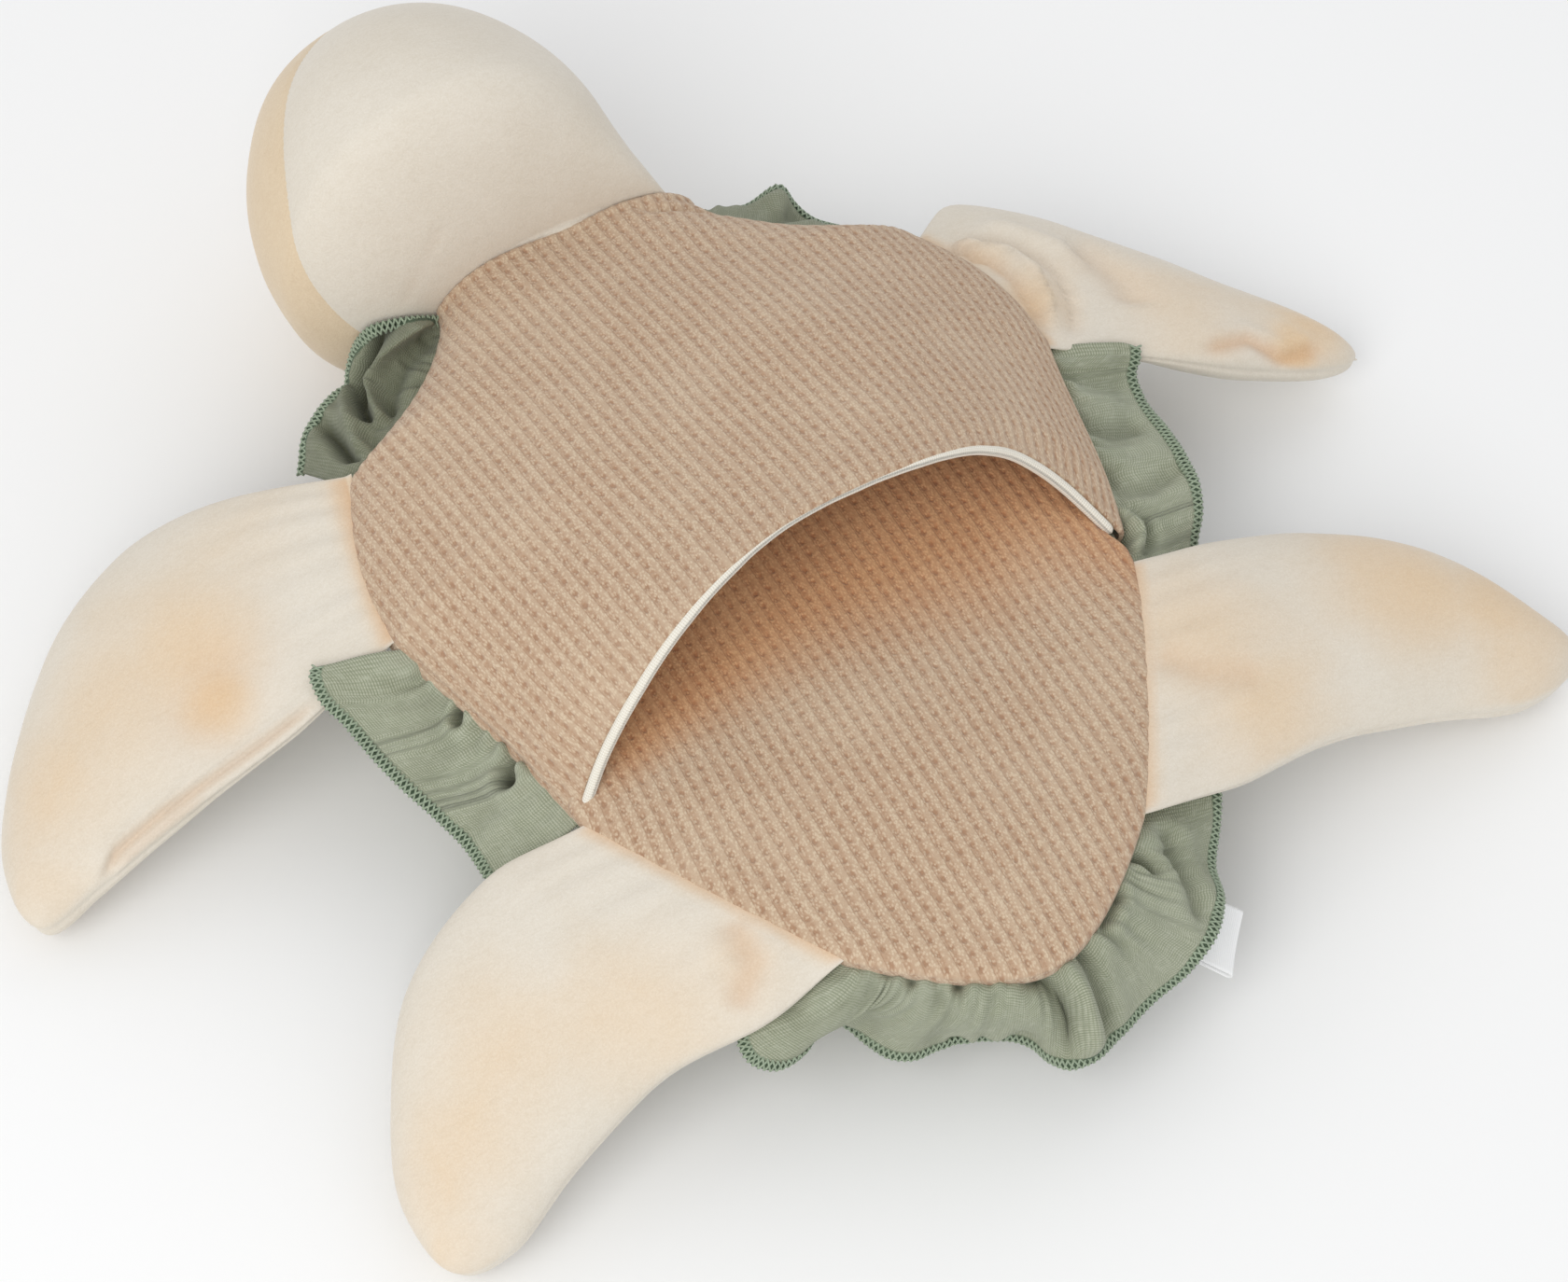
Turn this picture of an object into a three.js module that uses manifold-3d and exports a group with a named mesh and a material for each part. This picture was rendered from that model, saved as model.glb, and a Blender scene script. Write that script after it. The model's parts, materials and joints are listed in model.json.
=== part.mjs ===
// Stuffed turtle hand puppet, lying on the dome of its shell with the belly up.
// Millimetres and degrees. +Z is up, +Y points to the head, +X to the turtle's own left side.
// The origin is the middle of the flat patch that the shell rests on.

import * as THREE from "three";
import { mergeVertices } from "three/addons/utils/BufferGeometryUtils.js";
import Module from "manifold-3d";

const wasm = await Module();
wasm.setup();

// Cloths and clearances
const velourThickness = 1.4;
const waffleThickness = 1.5;
const jerseyThickness = 1.0;
const poplinThickness = 1.0;
const gap = 0.3; // between pieces that touch
const rollRadius = 2; // rolled edge of a flipper about the line that it is sewn on
const rollGap = 0.4; // from that edge, and from the neck roll, to the body
const farSize = 800; // of a block that cuts away all that is beyond its face
const curveProbes = 400; // places tried along a curve to find one on it

// Seam round the body, its left half seen from above: [x, y]
const neckY = 138;
const neckHalfWidth = 40.5;
const shoulderBend = [50, 116];
const frontRoot = { head: [89.2, 97.6], tail: [102.4, 43.9] };
const waistBend = [90.6, 11];
const rearRoot = { head: [84.3, -29.8], tail: [44.6, -99.7] };
const tailBend = [16, -127.5];
const tailY = -127.5;
const seamZ = 58;
const seamSteps = [3, 5, 3, 4, 4, 6];

// Shell dome and belly
const shellRimDrop = 2; // the shell's cloth ends this far below the seam line
const domePower = 2.5;
const domeSteps = 6;
const flatCut = 0.5;
const bellyCrown = 9;
const bellySteps = 3;

// Pocket over the chest
const mouthY = -22; // where the mouth's corners are sewn down
const mouthSweep = 13.5; // its middle lies this much nearer to the head
const mouthSkew = 0.8; // share of the sweep by which the left half lies further back
const cornerSkew = 3;
const mouthRise = 50;
const neckRise = 13;
const chestSwell = 4;
const pocketColumns = 16;
const pocketRows = 9;
const pipingRadius = 1.6;
const pipingGap = 0.5; // to the edge of the pocket panel
const pipingSteps = 28;
const pipingSides = 8;
const pipingNudge = 0.01; // step by which the edge's direction is found
const pipingReach = 0.86; // share of the way along the mouth's edge from its middle to a corner

// Head, with the seam of its chin given in millimetres from its middle: [towards the nose, the chin]
const neckRoll = { halfWidth: 39, radius: 17, z: 54 };
const headHalf = { width: 53.5, length: 65, height: 62 };
const headLength = 25.5; // from the neck seam to the widest section
const headShiftX = -24; // of the widest section
const headLift = 0.5; // of the widest section's underside
const noseShift = -2.5;
const neckLength = 3; // straight part of the neck, which lets the head nod
const neckSwellPower = { across: 0.42, upright: 0.8 }; // the lower, the sooner the head swells past the neck
const chinDirection = new THREE.Vector3(0.419, -0.362, 0.833).normalize();
const chinSeam = [[-110, -70], [-70, -44], [-40, -24], [-15, -8.2], [2, 1.5], [25, 7], [43, 8.5], [110, 8.5]];
const chinSeamSteps = 14;
const headSegments = 28;
const socketRings = 14;
const nodAngles = [20, 25, 30]; // as the head nods to the belly, up to the furthest
const rollAngles = [-89, -65, -42, -20];
const swellShares = [0, 0.03, 0.1, 0.25, 0.5, 0.75];
const ballAngles = [0, 18, 36, 53, 68, 80, 89];
const eyeRadius = 6.5;
const eyeHeight = 1.4;
const eyeSegments = [16, 10];
const eyeAngles = { fromCrown: 45, fromSide: 50 };

// Ruffle, hung from the body's seam
const ruffleWidth = 33;
const ruffleLeave = 22; // slope below the horizontal at the seam
const ruffleHang = { // and at the free edge: at its head end, its middle and its tail end
  neck_left: [45, 30, 80],
  neck_right: [50, 30, 80],
  side_left: [75, 22, 65],
  side_right: [82, 82, 82],
  tail: [60, 86, 110],
};
const tailSplay = 15; // the free edge of the tail's ruffle runs on by this much past each end
const foldDepth = 4.5;
const foldGrowth = 1.3; // the higher, the nearer to the free edge the folds open
const foldPitch = 21; // along the seam
const stepsPerFold = 6;
const ruffleRows = 3;
const ruffleEnd = 7; // kept free beside the neck and each flipper

// Blank ribbon loop
const ribbon = { width: 20, reach: 38, thickness: 0.5, opening: 1.2, slope: 30 };
const ribbonSeamY = -106;
const ribbonTopZ = 40;
const ribbonGap = 0.6; // from its sewn end to the sloping dome
const ribbonArcSteps = 6;

// Flippers: outlines in their own planes, [out from the seam, along it towards the tail]
const flippers = {
  front_right: {
    root: frontRoot,
    onLeft: false,
    droop: 22.9,
    thickness: 26,
    outline: [[0, -3], [36, -9], [68, -8.5], [92, 10], [112, 36], [124, 66], [117, 90]],
    trailing: [[98, 86], [68, 73], [36, 62], [0, 54.3]],
  },
  rear_right: {
    root: rearRoot,
    onLeft: false,
    droop: 24.4,
    thickness: 30,
    outline: [[0, 1], [25, -16], [58, -20], [88, -10], [109, 8], [116.5, 28]],
    trailing: [[106, 39.5], [80, 41.5], [50, 52], [25, 68], [0, 80]],
  },
  front_left: {
    root: frontRoot,
    onLeft: true,
    droop: 28.1,
    thickness: 26,
    outline: [[0, 3], [24, -4], [46, 1], [66, 25], [88, 57], [104, 83], [102, 96]],
    trailing: [[86, 99], [60, 91], [30, 72], [0, 55.5]],
  },
  rear_left: {
    root: rearRoot,
    onLeft: true,
    droop: 21.2,
    thickness: 30,
    outline: [[0, 0], [28, -15], [62, -26], [96, -28.5], [124, -17], [133.5, 0]],
    trailing: [[122, 19], [88, 32], [56, 46], [28, 66], [0, 80.5]],
  },
};
const flipperSections = 11;
const flipperArcSteps = 8;
const rollSteps = 2;
const tipCrowding = 0.7; // from 0 to 1: how much closer the sections stand towards the tip
const puffLength = 0.45; // share of the flipper over which it swells from its root
const tipSoftness = 11; // half width below which a section grows thin

// Colours
const colours = {
  waffle: 0xcfb092,
  jersey: 0xf0ebe0,
  poplin: 0x97a98f,
  ivoryVelour: 0xe8dfcf,
  beigeVelour: 0xe4cba9,
  stuffing: 0xf4f2ec,
  thread: 0x3a2c26,
  ribbon: 0xeef0f0,
};

const puppet = new THREE.Group();
puppet.name = "turtle_hand_puppet";

function cloth(colour, roughness = 0.95) {
  return new THREE.MeshStandardMaterial({ color: colour, roughness, metalness: 0 });
}

function addPiece(name, geometry, material, parent = puppet) {
  const mesh = new THREE.Mesh(geometry, material);
  mesh.name = name;
  parent.add(mesh);
  return mesh;
}

// Surfaces

// A closed geometry from points and triangles, with its faces turned outwards.
function closedGeometry(points, triangles) {
  let volume = 0;
  const cross = new THREE.Vector3();
  for (const [a, b, c] of triangles) {
    volume += points[a].dot(cross.crossVectors(points[b], points[c]));
  }
  const index = triangles.flatMap(([a, b, c]) => (volume < 0 ? [a, c, b] : [a, b, c]));
  const geometry = new THREE.BufferGeometry();
  geometry.setAttribute("position", new THREE.Float32BufferAttribute(points.flatMap((p) => p.toArray()), 3));
  geometry.setIndex(index);
  const merged = mergeVertices(geometry, 1e-3);
  const whole = [];
  for (let i = 0; i < merged.index.count; i += 3) {
    const [a, b, c] = merged.index.array.slice(i, i + 3);
    if (a !== b && b !== c && c !== a) whole.push(a, b, c);
  }
  merged.setIndex(whole);
  return merged;
}

function middle(points) {
  return points.reduce((sum, p) => sum.add(p), new THREE.Vector3()).divideScalar(points.length);
}

// A solid skinned over rings of as many points each, closed by a fan at both ends.
function lofted(rings, first = middle(rings[0]), last = middle(rings[rings.length - 1])) {
  const count = rings[0].length;
  const points = [...rings.flat(), first, last];
  const triangles = [];
  const lastRing = (rings.length - 1) * count;
  for (let j = 0; j < count; j++) {
    const next = (j + 1) % count;
    for (let i = 0; i < rings.length - 1; i++) {
      const a = i * count + j;
      const b = i * count + next;
      triangles.push([a, b, b + count], [a, b + count, a + count]);
    }
    triangles.push([points.length - 2, next, j], [points.length - 1, lastRing + j, lastRing + next]);
  }
  return closedGeometry(points, triangles);
}

// A sheet of cloth between two grids of points, closed along its rim.
function sheet(outer, inner) {
  const rows = outer.length;
  const columns = outer[0].length;
  const points = [...outer.flat(), ...inner.flat()];
  const back = rows * columns;
  const triangles = [];
  const square = (a, b, c, d) => triangles.push([a, b, c], [a, c, d]);
  const at = (i, j) => i * columns + j;
  for (let i = 0; i < rows - 1; i++) {
    for (let j = 0; j < columns - 1; j++) {
      square(at(i, j), at(i, j + 1), at(i + 1, j + 1), at(i + 1, j));
      square(back + at(i, j), back + at(i + 1, j), back + at(i + 1, j + 1), back + at(i, j + 1));
    }
    for (const [j, turn] of [[0, false], [columns - 1, true]]) {
      const side = [at(i, j), at(i + 1, j), back + at(i + 1, j), back + at(i, j)];
      square(...(turn ? side.reverse() : side));
    }
  }
  for (let j = 0; j < columns - 1; j++) {
    for (const [i, turn] of [[0, true], [rows - 1, false]]) {
      const side = [at(i, j), at(i, j + 1), back + at(i, j + 1), back + at(i, j)];
      square(...(turn ? side.reverse() : side));
    }
  }
  return closedGeometry(points, triangles);
}

// Cuts and joins

function toSolid(geometry) {
  const plain = geometry.clone();
  plain.deleteAttribute("normal");
  plain.deleteAttribute("uv");
  const merged = mergeVertices(plain, 1e-4);
  return new wasm.Manifold(
    new wasm.Mesh({
      numProp: 3,
      vertProperties: merged.attributes.position.array,
      triVerts: new Uint32Array(merged.index.array),
    }),
  );
}

function toGeometry(solid) {
  const mesh = solid.getMesh();
  const geometry = new THREE.BufferGeometry();
  geometry.setAttribute("position", new THREE.BufferAttribute(mesh.vertProperties, 3));
  geometry.setIndex(new THREE.BufferAttribute(mesh.triVerts, 1));
  return geometry;
}

function cut(geometry, ...tools) {
  return toGeometry(tools.reduce((solid, tool) => solid.subtract(toSolid(tool)), toSolid(geometry)));
}

// Everything on the far side of a plane, as a large block.
function halfSpace(normal, through) {
  const block = new THREE.BoxGeometry(farSize, farSize, farSize);
  block.translate(0, 0, farSize / 2);
  block.applyQuaternion(new THREE.Quaternion().setFromUnitVectors(new THREE.Vector3(0, 0, 1), normal));
  block.translate(through.x, through.y, through.z);
  return block;
}

// Outline of the body

// The left half of the seam, from the middle of the neck to the middle of the tail.
function halfSeam() {
  const path = new THREE.Path();
  path.moveTo(0, neckY);
  path.lineTo(neckHalfWidth, neckY);
  path.quadraticCurveTo(...shoulderBend, ...frontRoot.head);
  path.lineTo(...frontRoot.tail);
  path.quadraticCurveTo(...waistBend, ...rearRoot.head);
  path.lineTo(...rearRoot.tail);
  path.quadraticCurveTo(...tailBend, 0, tailY);
  const points = path.curves.flatMap((curve, i) => curve.getPoints(seamSteps[i]).slice(0, -1));
  return [...points, new THREE.Vector2(0, tailY)];
}

// The whole seam as a closed ring, moved inwards by the given inset.
function bodyRing(inset) {
  const half = halfSeam();
  const mirrored = half.slice(1, -1).reverse().map((p) => new THREE.Vector2(-p.x, p.y));
  const ring = [...half, ...mirrored];
  return ring.map((point, i) => {
    const before = ring[(i + ring.length - 1) % ring.length];
    const along = ring[(i + 1) % ring.length].clone().sub(before).normalize();
    return new THREE.Vector2(point.x + along.y * inset, point.y - along.x * inset);
  });
}

const bodyInset = rollRadius + rollGap;
const shellRimZ = seamZ - shellRimDrop;
const bellyEdgeZ = shellRimZ + gap;
const bellyTopZ = bellyEdgeZ + waffleThickness;

// Rings down one face of the shell's dome, from its rim to the flat that it rests on.
function domeRings(inset, floorZ) {
  const ring = bodyRing(bodyInset + inset);
  const depth = shellRimZ - floorZ;
  const flatAngle = Math.asin((depth / (depth + flatCut)) ** (domePower / 2));
  return Array.from({ length: domeSteps + 1 }, (_, k) => {
    const angle = (flatAngle * k) / domeSteps;
    const share = Math.cos(angle) ** (2 / domePower);
    const z = shellRimZ - (depth + flatCut) * Math.sin(angle) ** (2 / domePower);
    return ring.map((p) => new THREE.Vector3(p.x * share, p.y * share, z));
  });
}

// Rings up over the belly, from its edge towards its middle.
function bellyRings(inset, edgeZ) {
  const ring = bodyRing(bodyInset + inset);
  return Array.from({ length: bellySteps }, (_, k) => {
    const share = 1 - k / bellySteps;
    const z = edgeZ + bellyCrown * (1 - share ** 2);
    return ring.map((p) => new THREE.Vector3(p.x * share, p.y * share, z));
  });
}

const bellyTop = (edgeZ) => new THREE.Vector3(0, 0, edgeZ + bellyCrown);

// Neck and head

const hinge = new THREE.Vector3(0, neckY, neckRoll.z); // middle of the neck
const headCentreZ = headHalf.height + headLift;

// How far the head has swelled from the neck (0) to its widest section (1), at a distance from the seam.
function neckSwell(along, power) {
  const share = Math.max(0, along - neckLength) / (headLength - neckLength);
  return Math.sin((Math.min(1, share) * Math.PI) / 2) ** power;
}

// Sections of the head across Y, from inside the neck to the nose, all moved inwards by the inset.
function headRings(inset) {
  const rings = [];
  const section = (along, halfWidth, halfHeight) => {
    const beyond = Math.max(0, along - headLength) / headHalf.length;
    const x = headShiftX * neckSwell(along, neckSwellPower.across) + noseShift * beyond;
    const z = THREE.MathUtils.lerp(hinge.z, headCentreZ, neckSwell(along, neckSwellPower.upright));
    rings.push(
      Array.from({ length: headSegments }, (_, j) => {
        const angle = (2 * Math.PI * j) / headSegments;
        return new THREE.Vector3(
          x + halfWidth * Math.cos(angle),
          hinge.y + along,
          z + halfHeight * Math.sin(angle),
        );
      }),
    );
  };
  const roll = { halfWidth: neckRoll.halfWidth - inset, radius: neckRoll.radius - inset };
  const ball = {
    width: headHalf.width - inset,
    length: headHalf.length - inset,
    height: headHalf.height - inset,
  };
  for (const degrees of rollAngles) {
    const angle = THREE.MathUtils.degToRad(degrees);
    section(roll.radius * Math.sin(angle), roll.halfWidth * Math.cos(angle), roll.radius * Math.cos(angle));
  }
  section(0, roll.halfWidth, roll.radius);
  for (const share of swellShares) {
    const along = THREE.MathUtils.lerp(neckLength, headLength, share);
    section(
      along,
      THREE.MathUtils.lerp(roll.halfWidth, ball.width, neckSwell(along, neckSwellPower.across)),
      THREE.MathUtils.lerp(roll.radius, ball.height, neckSwell(along, neckSwellPower.upright)),
    );
  }
  for (const degrees of ballAngles) {
    const angle = THREE.MathUtils.degToRad(degrees);
    const shrink = Math.cos(angle);
    section(headLength + ball.length * Math.sin(angle), ball.width * shrink, ball.height * shrink);
  }
  return rings;
}

const headForm = (inset) => lofted(headRings(inset));

// The hollow in the body's neck end, which the rolled end of the head turns in.
function neckSocket() {
  const socket = new THREE.SphereGeometry(1, headSegments, socketRings);
  socket.scale(neckRoll.radius + rollGap, neckRoll.radius + rollGap, neckRoll.halfWidth + rollGap);
  socket.rotateY(Math.PI / 2);
  socket.translate(hinge.x, hinge.y, hinge.z);
  return socket;
}

// The room that the nodding head takes up, which the pocket's neck edge is cut back from.
function nodRoom() {
  return nodAngles.map((degrees) => {
    const form = headForm(-gap);
    form.translate(-hinge.x, -hinge.y, -hinge.z);
    form.rotateX(THREE.MathUtils.degToRad(degrees));
    return form.translate(hinge.x, hinge.y, hinge.z);
  });
}

// The head's own axes, from its middle: towards its nose, its chin and its left side.
function headFrame() {
  const centre = new THREE.Vector3(headShiftX, neckY + headLength, headCentreZ);
  const nose = new THREE.Vector3(noseShift, headHalf.length, 0).projectOnPlane(chinDirection).normalize();
  const left = nose.clone().cross(chinDirection);
  return { centre, nose, left };
}

// A block on the chin's side (1) or the crown's side (-1) of the seam, kept half a gap off it.
function seamBlock(frame, side) {
  const offset = (side * gap) / 2;
  const curve = new THREE.SplineCurve(chinSeam.map(([out, up]) => new THREE.Vector2(out, up + offset)));
  const points = curve.getPoints(chinSeamSteps);
  const far = side * farSize;
  const shape = new THREE.Shape([
    ...points,
    new THREE.Vector2(points[points.length - 1].x, far),
    new THREE.Vector2(points[0].x, far),
  ]);
  const block = new THREE.ExtrudeGeometry(shape, { depth: farSize, bevelEnabled: false });
  block.translate(0, 0, -farSize / 2);
  block.applyMatrix4(new THREE.Matrix4().makeBasis(frame.nose, chinDirection, frame.left));
  block.translate(frame.centre.x, frame.centre.y, frame.centre.z);
  return block;
}

function addHead() {
  const frame = headFrame();
  const neckSide = new THREE.Vector3(0, -1, 0);
  const neckEnd = (offset) => halfSpace(neckSide, new THREE.Vector3(0, neckY + offset, 0));
  const cover = cut(headForm(0), headForm(velourThickness), neckEnd(gap));
  const panel = (side) => toGeometry(toSolid(cover).intersect(toSolid(seamBlock(frame, side))));
  addPiece("head_chin_panel", panel(1), cloth(colours.ivoryVelour));
  addPiece("head_crown_panel", panel(-1), cloth(colours.beigeVelour));

  const plug = toSolid(headForm(0)).intersect(toSolid(neckEnd(0)));
  const stuffing = toGeometry(toSolid(headForm(velourThickness + gap)).add(plug));
  addPiece("head_stuffing", stuffing, cloth(colours.stuffing));
  addEyes(frame);
}

// Two embroidered eyes, low domes on the crown panel.
function addEyes({ centre, nose, left }) {
  const fromCrown = THREE.MathUtils.degToRad(eyeAngles.fromCrown);
  const fromSide = THREE.MathUtils.degToRad(eyeAngles.fromSide);
  const clearHead = headForm(-gap);
  for (const [name, side] of [["left_eye", 1], ["right_eye", -1]]) {
    const level = nose
      .clone()
      .multiplyScalar(Math.sin(fromSide))
      .addScaledVector(left, side * Math.cos(fromSide));
    const direction = chinDirection
      .clone()
      .multiplyScalar(-Math.cos(fromCrown))
      .addScaledVector(level, Math.sin(fromCrown));
    const outside = centre.clone().addScaledVector(direction, farSize);
    const ray = new THREE.Raycaster(outside, direction.clone().negate());
    const target = new THREE.Mesh(headForm(0), cloth(colours.beigeVelour));
    const hit = ray.intersectObject(target)[0];
    const eye = new THREE.SphereGeometry(1, ...eyeSegments);
    eye.scale(eyeRadius, eyeRadius, eyeHeight + gap);
    eye.applyQuaternion(new THREE.Quaternion().setFromUnitVectors(new THREE.Vector3(0, 0, 1), hit.face.normal));
    eye.translate(hit.point.x, hit.point.y, hit.point.z);
    addPiece(name, cut(eye, clearHead), cloth(colours.thread, 0.6));
  }
}

// Body

function addBody() {
  const socket = neckSocket();
  const cover = lofted([...domeRings(0, 0).reverse(), ...domeRings(poplinThickness, poplinThickness)]);
  addPiece("back_shell_cover", cut(cover, socket), cloth(colours.poplin));

  const fill = poplinThickness + gap;
  const stuffing = lofted([...domeRings(fill, fill).reverse(), ...bellyRings(fill, shellRimZ).slice(1)],
    undefined, bellyTop(shellRimZ));
  addPiece("shell_stuffing", cut(stuffing, socket), cloth(colours.stuffing));

  const belly = lofted([...bellyRings(0, bellyEdgeZ).reverse(), ...bellyRings(0, bellyTopZ)],
    bellyTop(bellyEdgeZ), bellyTop(bellyTopZ));
  addPiece("belly_panel", cut(belly, socket), cloth(colours.waffle));

  const clear = [socket, bellyRoom(), ...nodRoom()];
  const pocket = cut(pocketLayer(0, waffleThickness), ...clear);
  addPiece("pocket_panel", pocket, cloth(colours.waffle));
  const liningInset = waffleThickness + gap;
  const lining = cut(pocketLayer(liningInset, liningInset + jerseyThickness), ...clear);
  addPiece("pocket_lining", lining, cloth(colours.jersey));
  addPiece("pocket_mouth_piping", pipingTube(liningInset), cloth(colours.jersey));
}

// The space that the belly and what is under it take up, with the gap that the pocket keeps to it.
function bellyRoom() {
  const edge = bellyRings(-bodyInset, bellyTopZ + gap);
  const floor = edge[0].map((p) => new THREE.Vector3(p.x, p.y, shellRimZ - bellyCrown));
  return lofted([floor, ...edge], undefined, bellyTop(bellyTopZ + gap));
}

// Half the body's width at a distance along it.
function halfWidthAt(y) {
  const half = bodyRing(bodyInset).slice(1, halfSeam().length);
  const next = Math.max(1, half.findIndex((p) => p.y <= y));
  const share = (half[next - 1].y - y) / (half[next - 1].y - half[next].y);
  return THREE.MathUtils.lerp(half[next - 1].x, half[next].x, share);
}

// A point on the chest's arch: across from -1 to 1, along from 0 at the neck to 1 at the mouth.
function archPoint(across, along, inset) {
  const neckEdgeY = neckY - bodyInset - gap;
  const sideY = THREE.MathUtils.lerp(neckEdgeY, mouthY, along);
  const rise = THREE.MathUtils.lerp(neckRise, mouthRise, along) + chestSwell * Math.sin(Math.PI * along);
  return new THREE.Vector3(
    across * (halfWidthAt(sideY) - inset),
    sideY + along ** 2 * (cornerSkew * across + mouthSweep * (1 - across ** 6) * (1 + mouthSkew * across)),
    bellyTopZ + (rise - inset) * (1 - Math.abs(across) ** 3),
  );
}

// Columns stand closer together towards the sides, where the arch is steep.
const acrossArch = (share) => Math.sin((share * Math.PI) / 2);

function pocketLayer(outerInset, innerInset) {
  const face = (inset) =>
    Array.from({ length: pocketRows + 1 }, (_, i) =>
      Array.from({ length: pocketColumns + 1 }, (_, j) =>
        archPoint(acrossArch(-1 + (2 * j) / pocketColumns), i / pocketRows, inset),
      ),
    );
  return sheet(face(outerInset), face(innerInset));
}

// A round tube along a curve, with closed ends.
function tube(curve, radius, steps, sides) {
  const section = new THREE.Shape();
  for (let i = 0; i < sides; i++) {
    const angle = (2 * Math.PI * i) / sides;
    const point = [radius * Math.cos(angle), radius * Math.sin(angle)];
    if (i === 0) section.moveTo(...point);
    else section.lineTo(...point);
  }
  return new THREE.ExtrudeGeometry(section, { steps, extrudePath: curve, curveSegments: 1 });
}

// The lining's rolled edge, which runs along the mouth just past the pocket panel.
function pipingTube(inset) {
  const points = Array.from({ length: pipingSteps + 1 }, (_, i) => {
    const across = acrossArch(pipingReach * (-1 + (2 * i) / pipingSteps));
    const edge = archPoint(across, 1, inset / 2);
    const tangent = archPoint(across + pipingNudge, 1, inset / 2).sub(edge).normalize();
    const away = edge.clone().sub(archPoint(across, 1 - pipingNudge, inset / 2));
    away.addScaledVector(tangent, -away.dot(tangent)).normalize();
    return edge.addScaledVector(away, pipingRadius + pipingGap);
  });
  return toGeometry(toSolid(tube(new THREE.CatmullRomCurve3(points), pipingRadius, pipingSteps, pipingSides)));
}

// Ruffle

// A stretch of the seam between two of its corners, shortened at both ends.
function seamStretch(name) {
  const half = halfSeam();
  const corner = (point) => half.findIndex((p) => p.distanceTo(new THREE.Vector2(...point)) < 1e-6);
  const neck = half.slice(corner([neckHalfWidth, neckY]), corner(frontRoot.head) + 1);
  const waist = half.slice(corner(frontRoot.tail), corner(rearRoot.head) + 1);
  const tail = half.slice(corner(rearRoot.tail));
  const round = [...tail, ...tail.slice(0, -1).reverse().map((p) => new THREE.Vector2(-p.x, p.y))];
  const points = { neck, side: waist, tail: round }[name];
  return new THREE.CatmullRomCurve3(points.map((p) => new THREE.Vector3(p.x, p.y, 0)));
}

// A gathered strip hung from a stretch of the seam, flat at the seam and folded at its free edge.
function ruffleStrip(name, hang, splay = 0) {
  const curve = seamStretch(name);
  const length = curve.getLength();
  const folds = Math.max(1, Math.round((length - 2 * ruffleEnd) / foldPitch));
  const steps = folds * stepsPerFold;
  const out = new THREE.Vector3();
  const grid = Array.from({ length: ruffleRows + 1 }, (_, i) => {
    const row = [];
    for (let j = 0; j <= steps; j++) {
      const share = j / steps;
      const down = i / ruffleRows;
      const along = (ruffleEnd + (length - 2 * ruffleEnd) * share) / length;
      const tangent = curve.getTangentAt(along);
      out.set(-tangent.y, tangent.x, 0);
      const base = curve.getPointAt(along).addScaledVector(out, gap + poplinThickness / 2 - bodyInset);
      base.z = shellRimZ - poplinThickness;
      base.addScaledVector(tangent, splay * down * (2 * share - 1));
      row.push(base.add(drape(down, 2 * Math.PI * folds * share, out, slopeAt(hang, share))));
    }
    return row;
  });
  const face = (side) =>
    grid.map((row, i) => row.map((point, j) => point.clone().addScaledVector(gridNormal(grid, i, j), side)));
  return sheet(face(poplinThickness / 2), face(-poplinThickness / 2));
}

// The slope along the free edge, which passes smoothly through its three given values.
function slopeAt([first, middle, last], share) {
  const rest = 1 - share;
  return first * rest * (rest - share) + middle * 4 * share * rest + last * share * (share - rest);
}

// How far a point of the ruffle lies from the seam: it falls along an arc, with a fold laid across it.
function drape(down, phase, out, freeSlope) {
  const start = THREE.MathUtils.degToRad(ruffleLeave);
  const end = THREE.MathUtils.degToRad(freeSlope);
  const slope = THREE.MathUtils.lerp(start, end, down);
  const bend = (slope - start) / 2;
  const chord = ruffleWidth * down * (bend === 0 ? 1 : Math.sin(bend) / bend);
  const fold = foldDepth * down ** foldGrowth * Math.sin(phase);
  const away = chord * Math.cos(start + bend) + fold * Math.sin(slope);
  const fall = chord * Math.sin(start + bend) - fold * Math.cos(slope);
  return out.clone().multiplyScalar(away).add(new THREE.Vector3(0, 0, -fall));
}

function gridNormal(grid, i, j) {
  const near = (list, k) => list[Math.min(list.length - 1, Math.max(0, k))];
  const at = (row, column) => near(near(grid, row), column);
  const along = at(i, j + 1).clone().sub(at(i, j - 1));
  const down = at(i + 1, j).clone().sub(at(i - 1, j));
  return along.cross(down).normalize();
}

function addRuffles() {
  for (const [side, mirror] of [["left", 1], ["right", -1]]) {
    const group = new THREE.Group();
    group.scale.x = mirror;
    puppet.add(group);
    for (const stretch of ["neck", "side"]) {
      const strip = ruffleStrip(stretch, ruffleHang[`${stretch}_${side}`]);
      addPiece(`ruffle_${stretch}_${side}`, strip, cloth(colours.poplin), group);
    }
  }
  addPiece("ruffle_tail", ruffleStrip("tail", ruffleHang.tail, tailSplay), cloth(colours.poplin));
}

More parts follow.
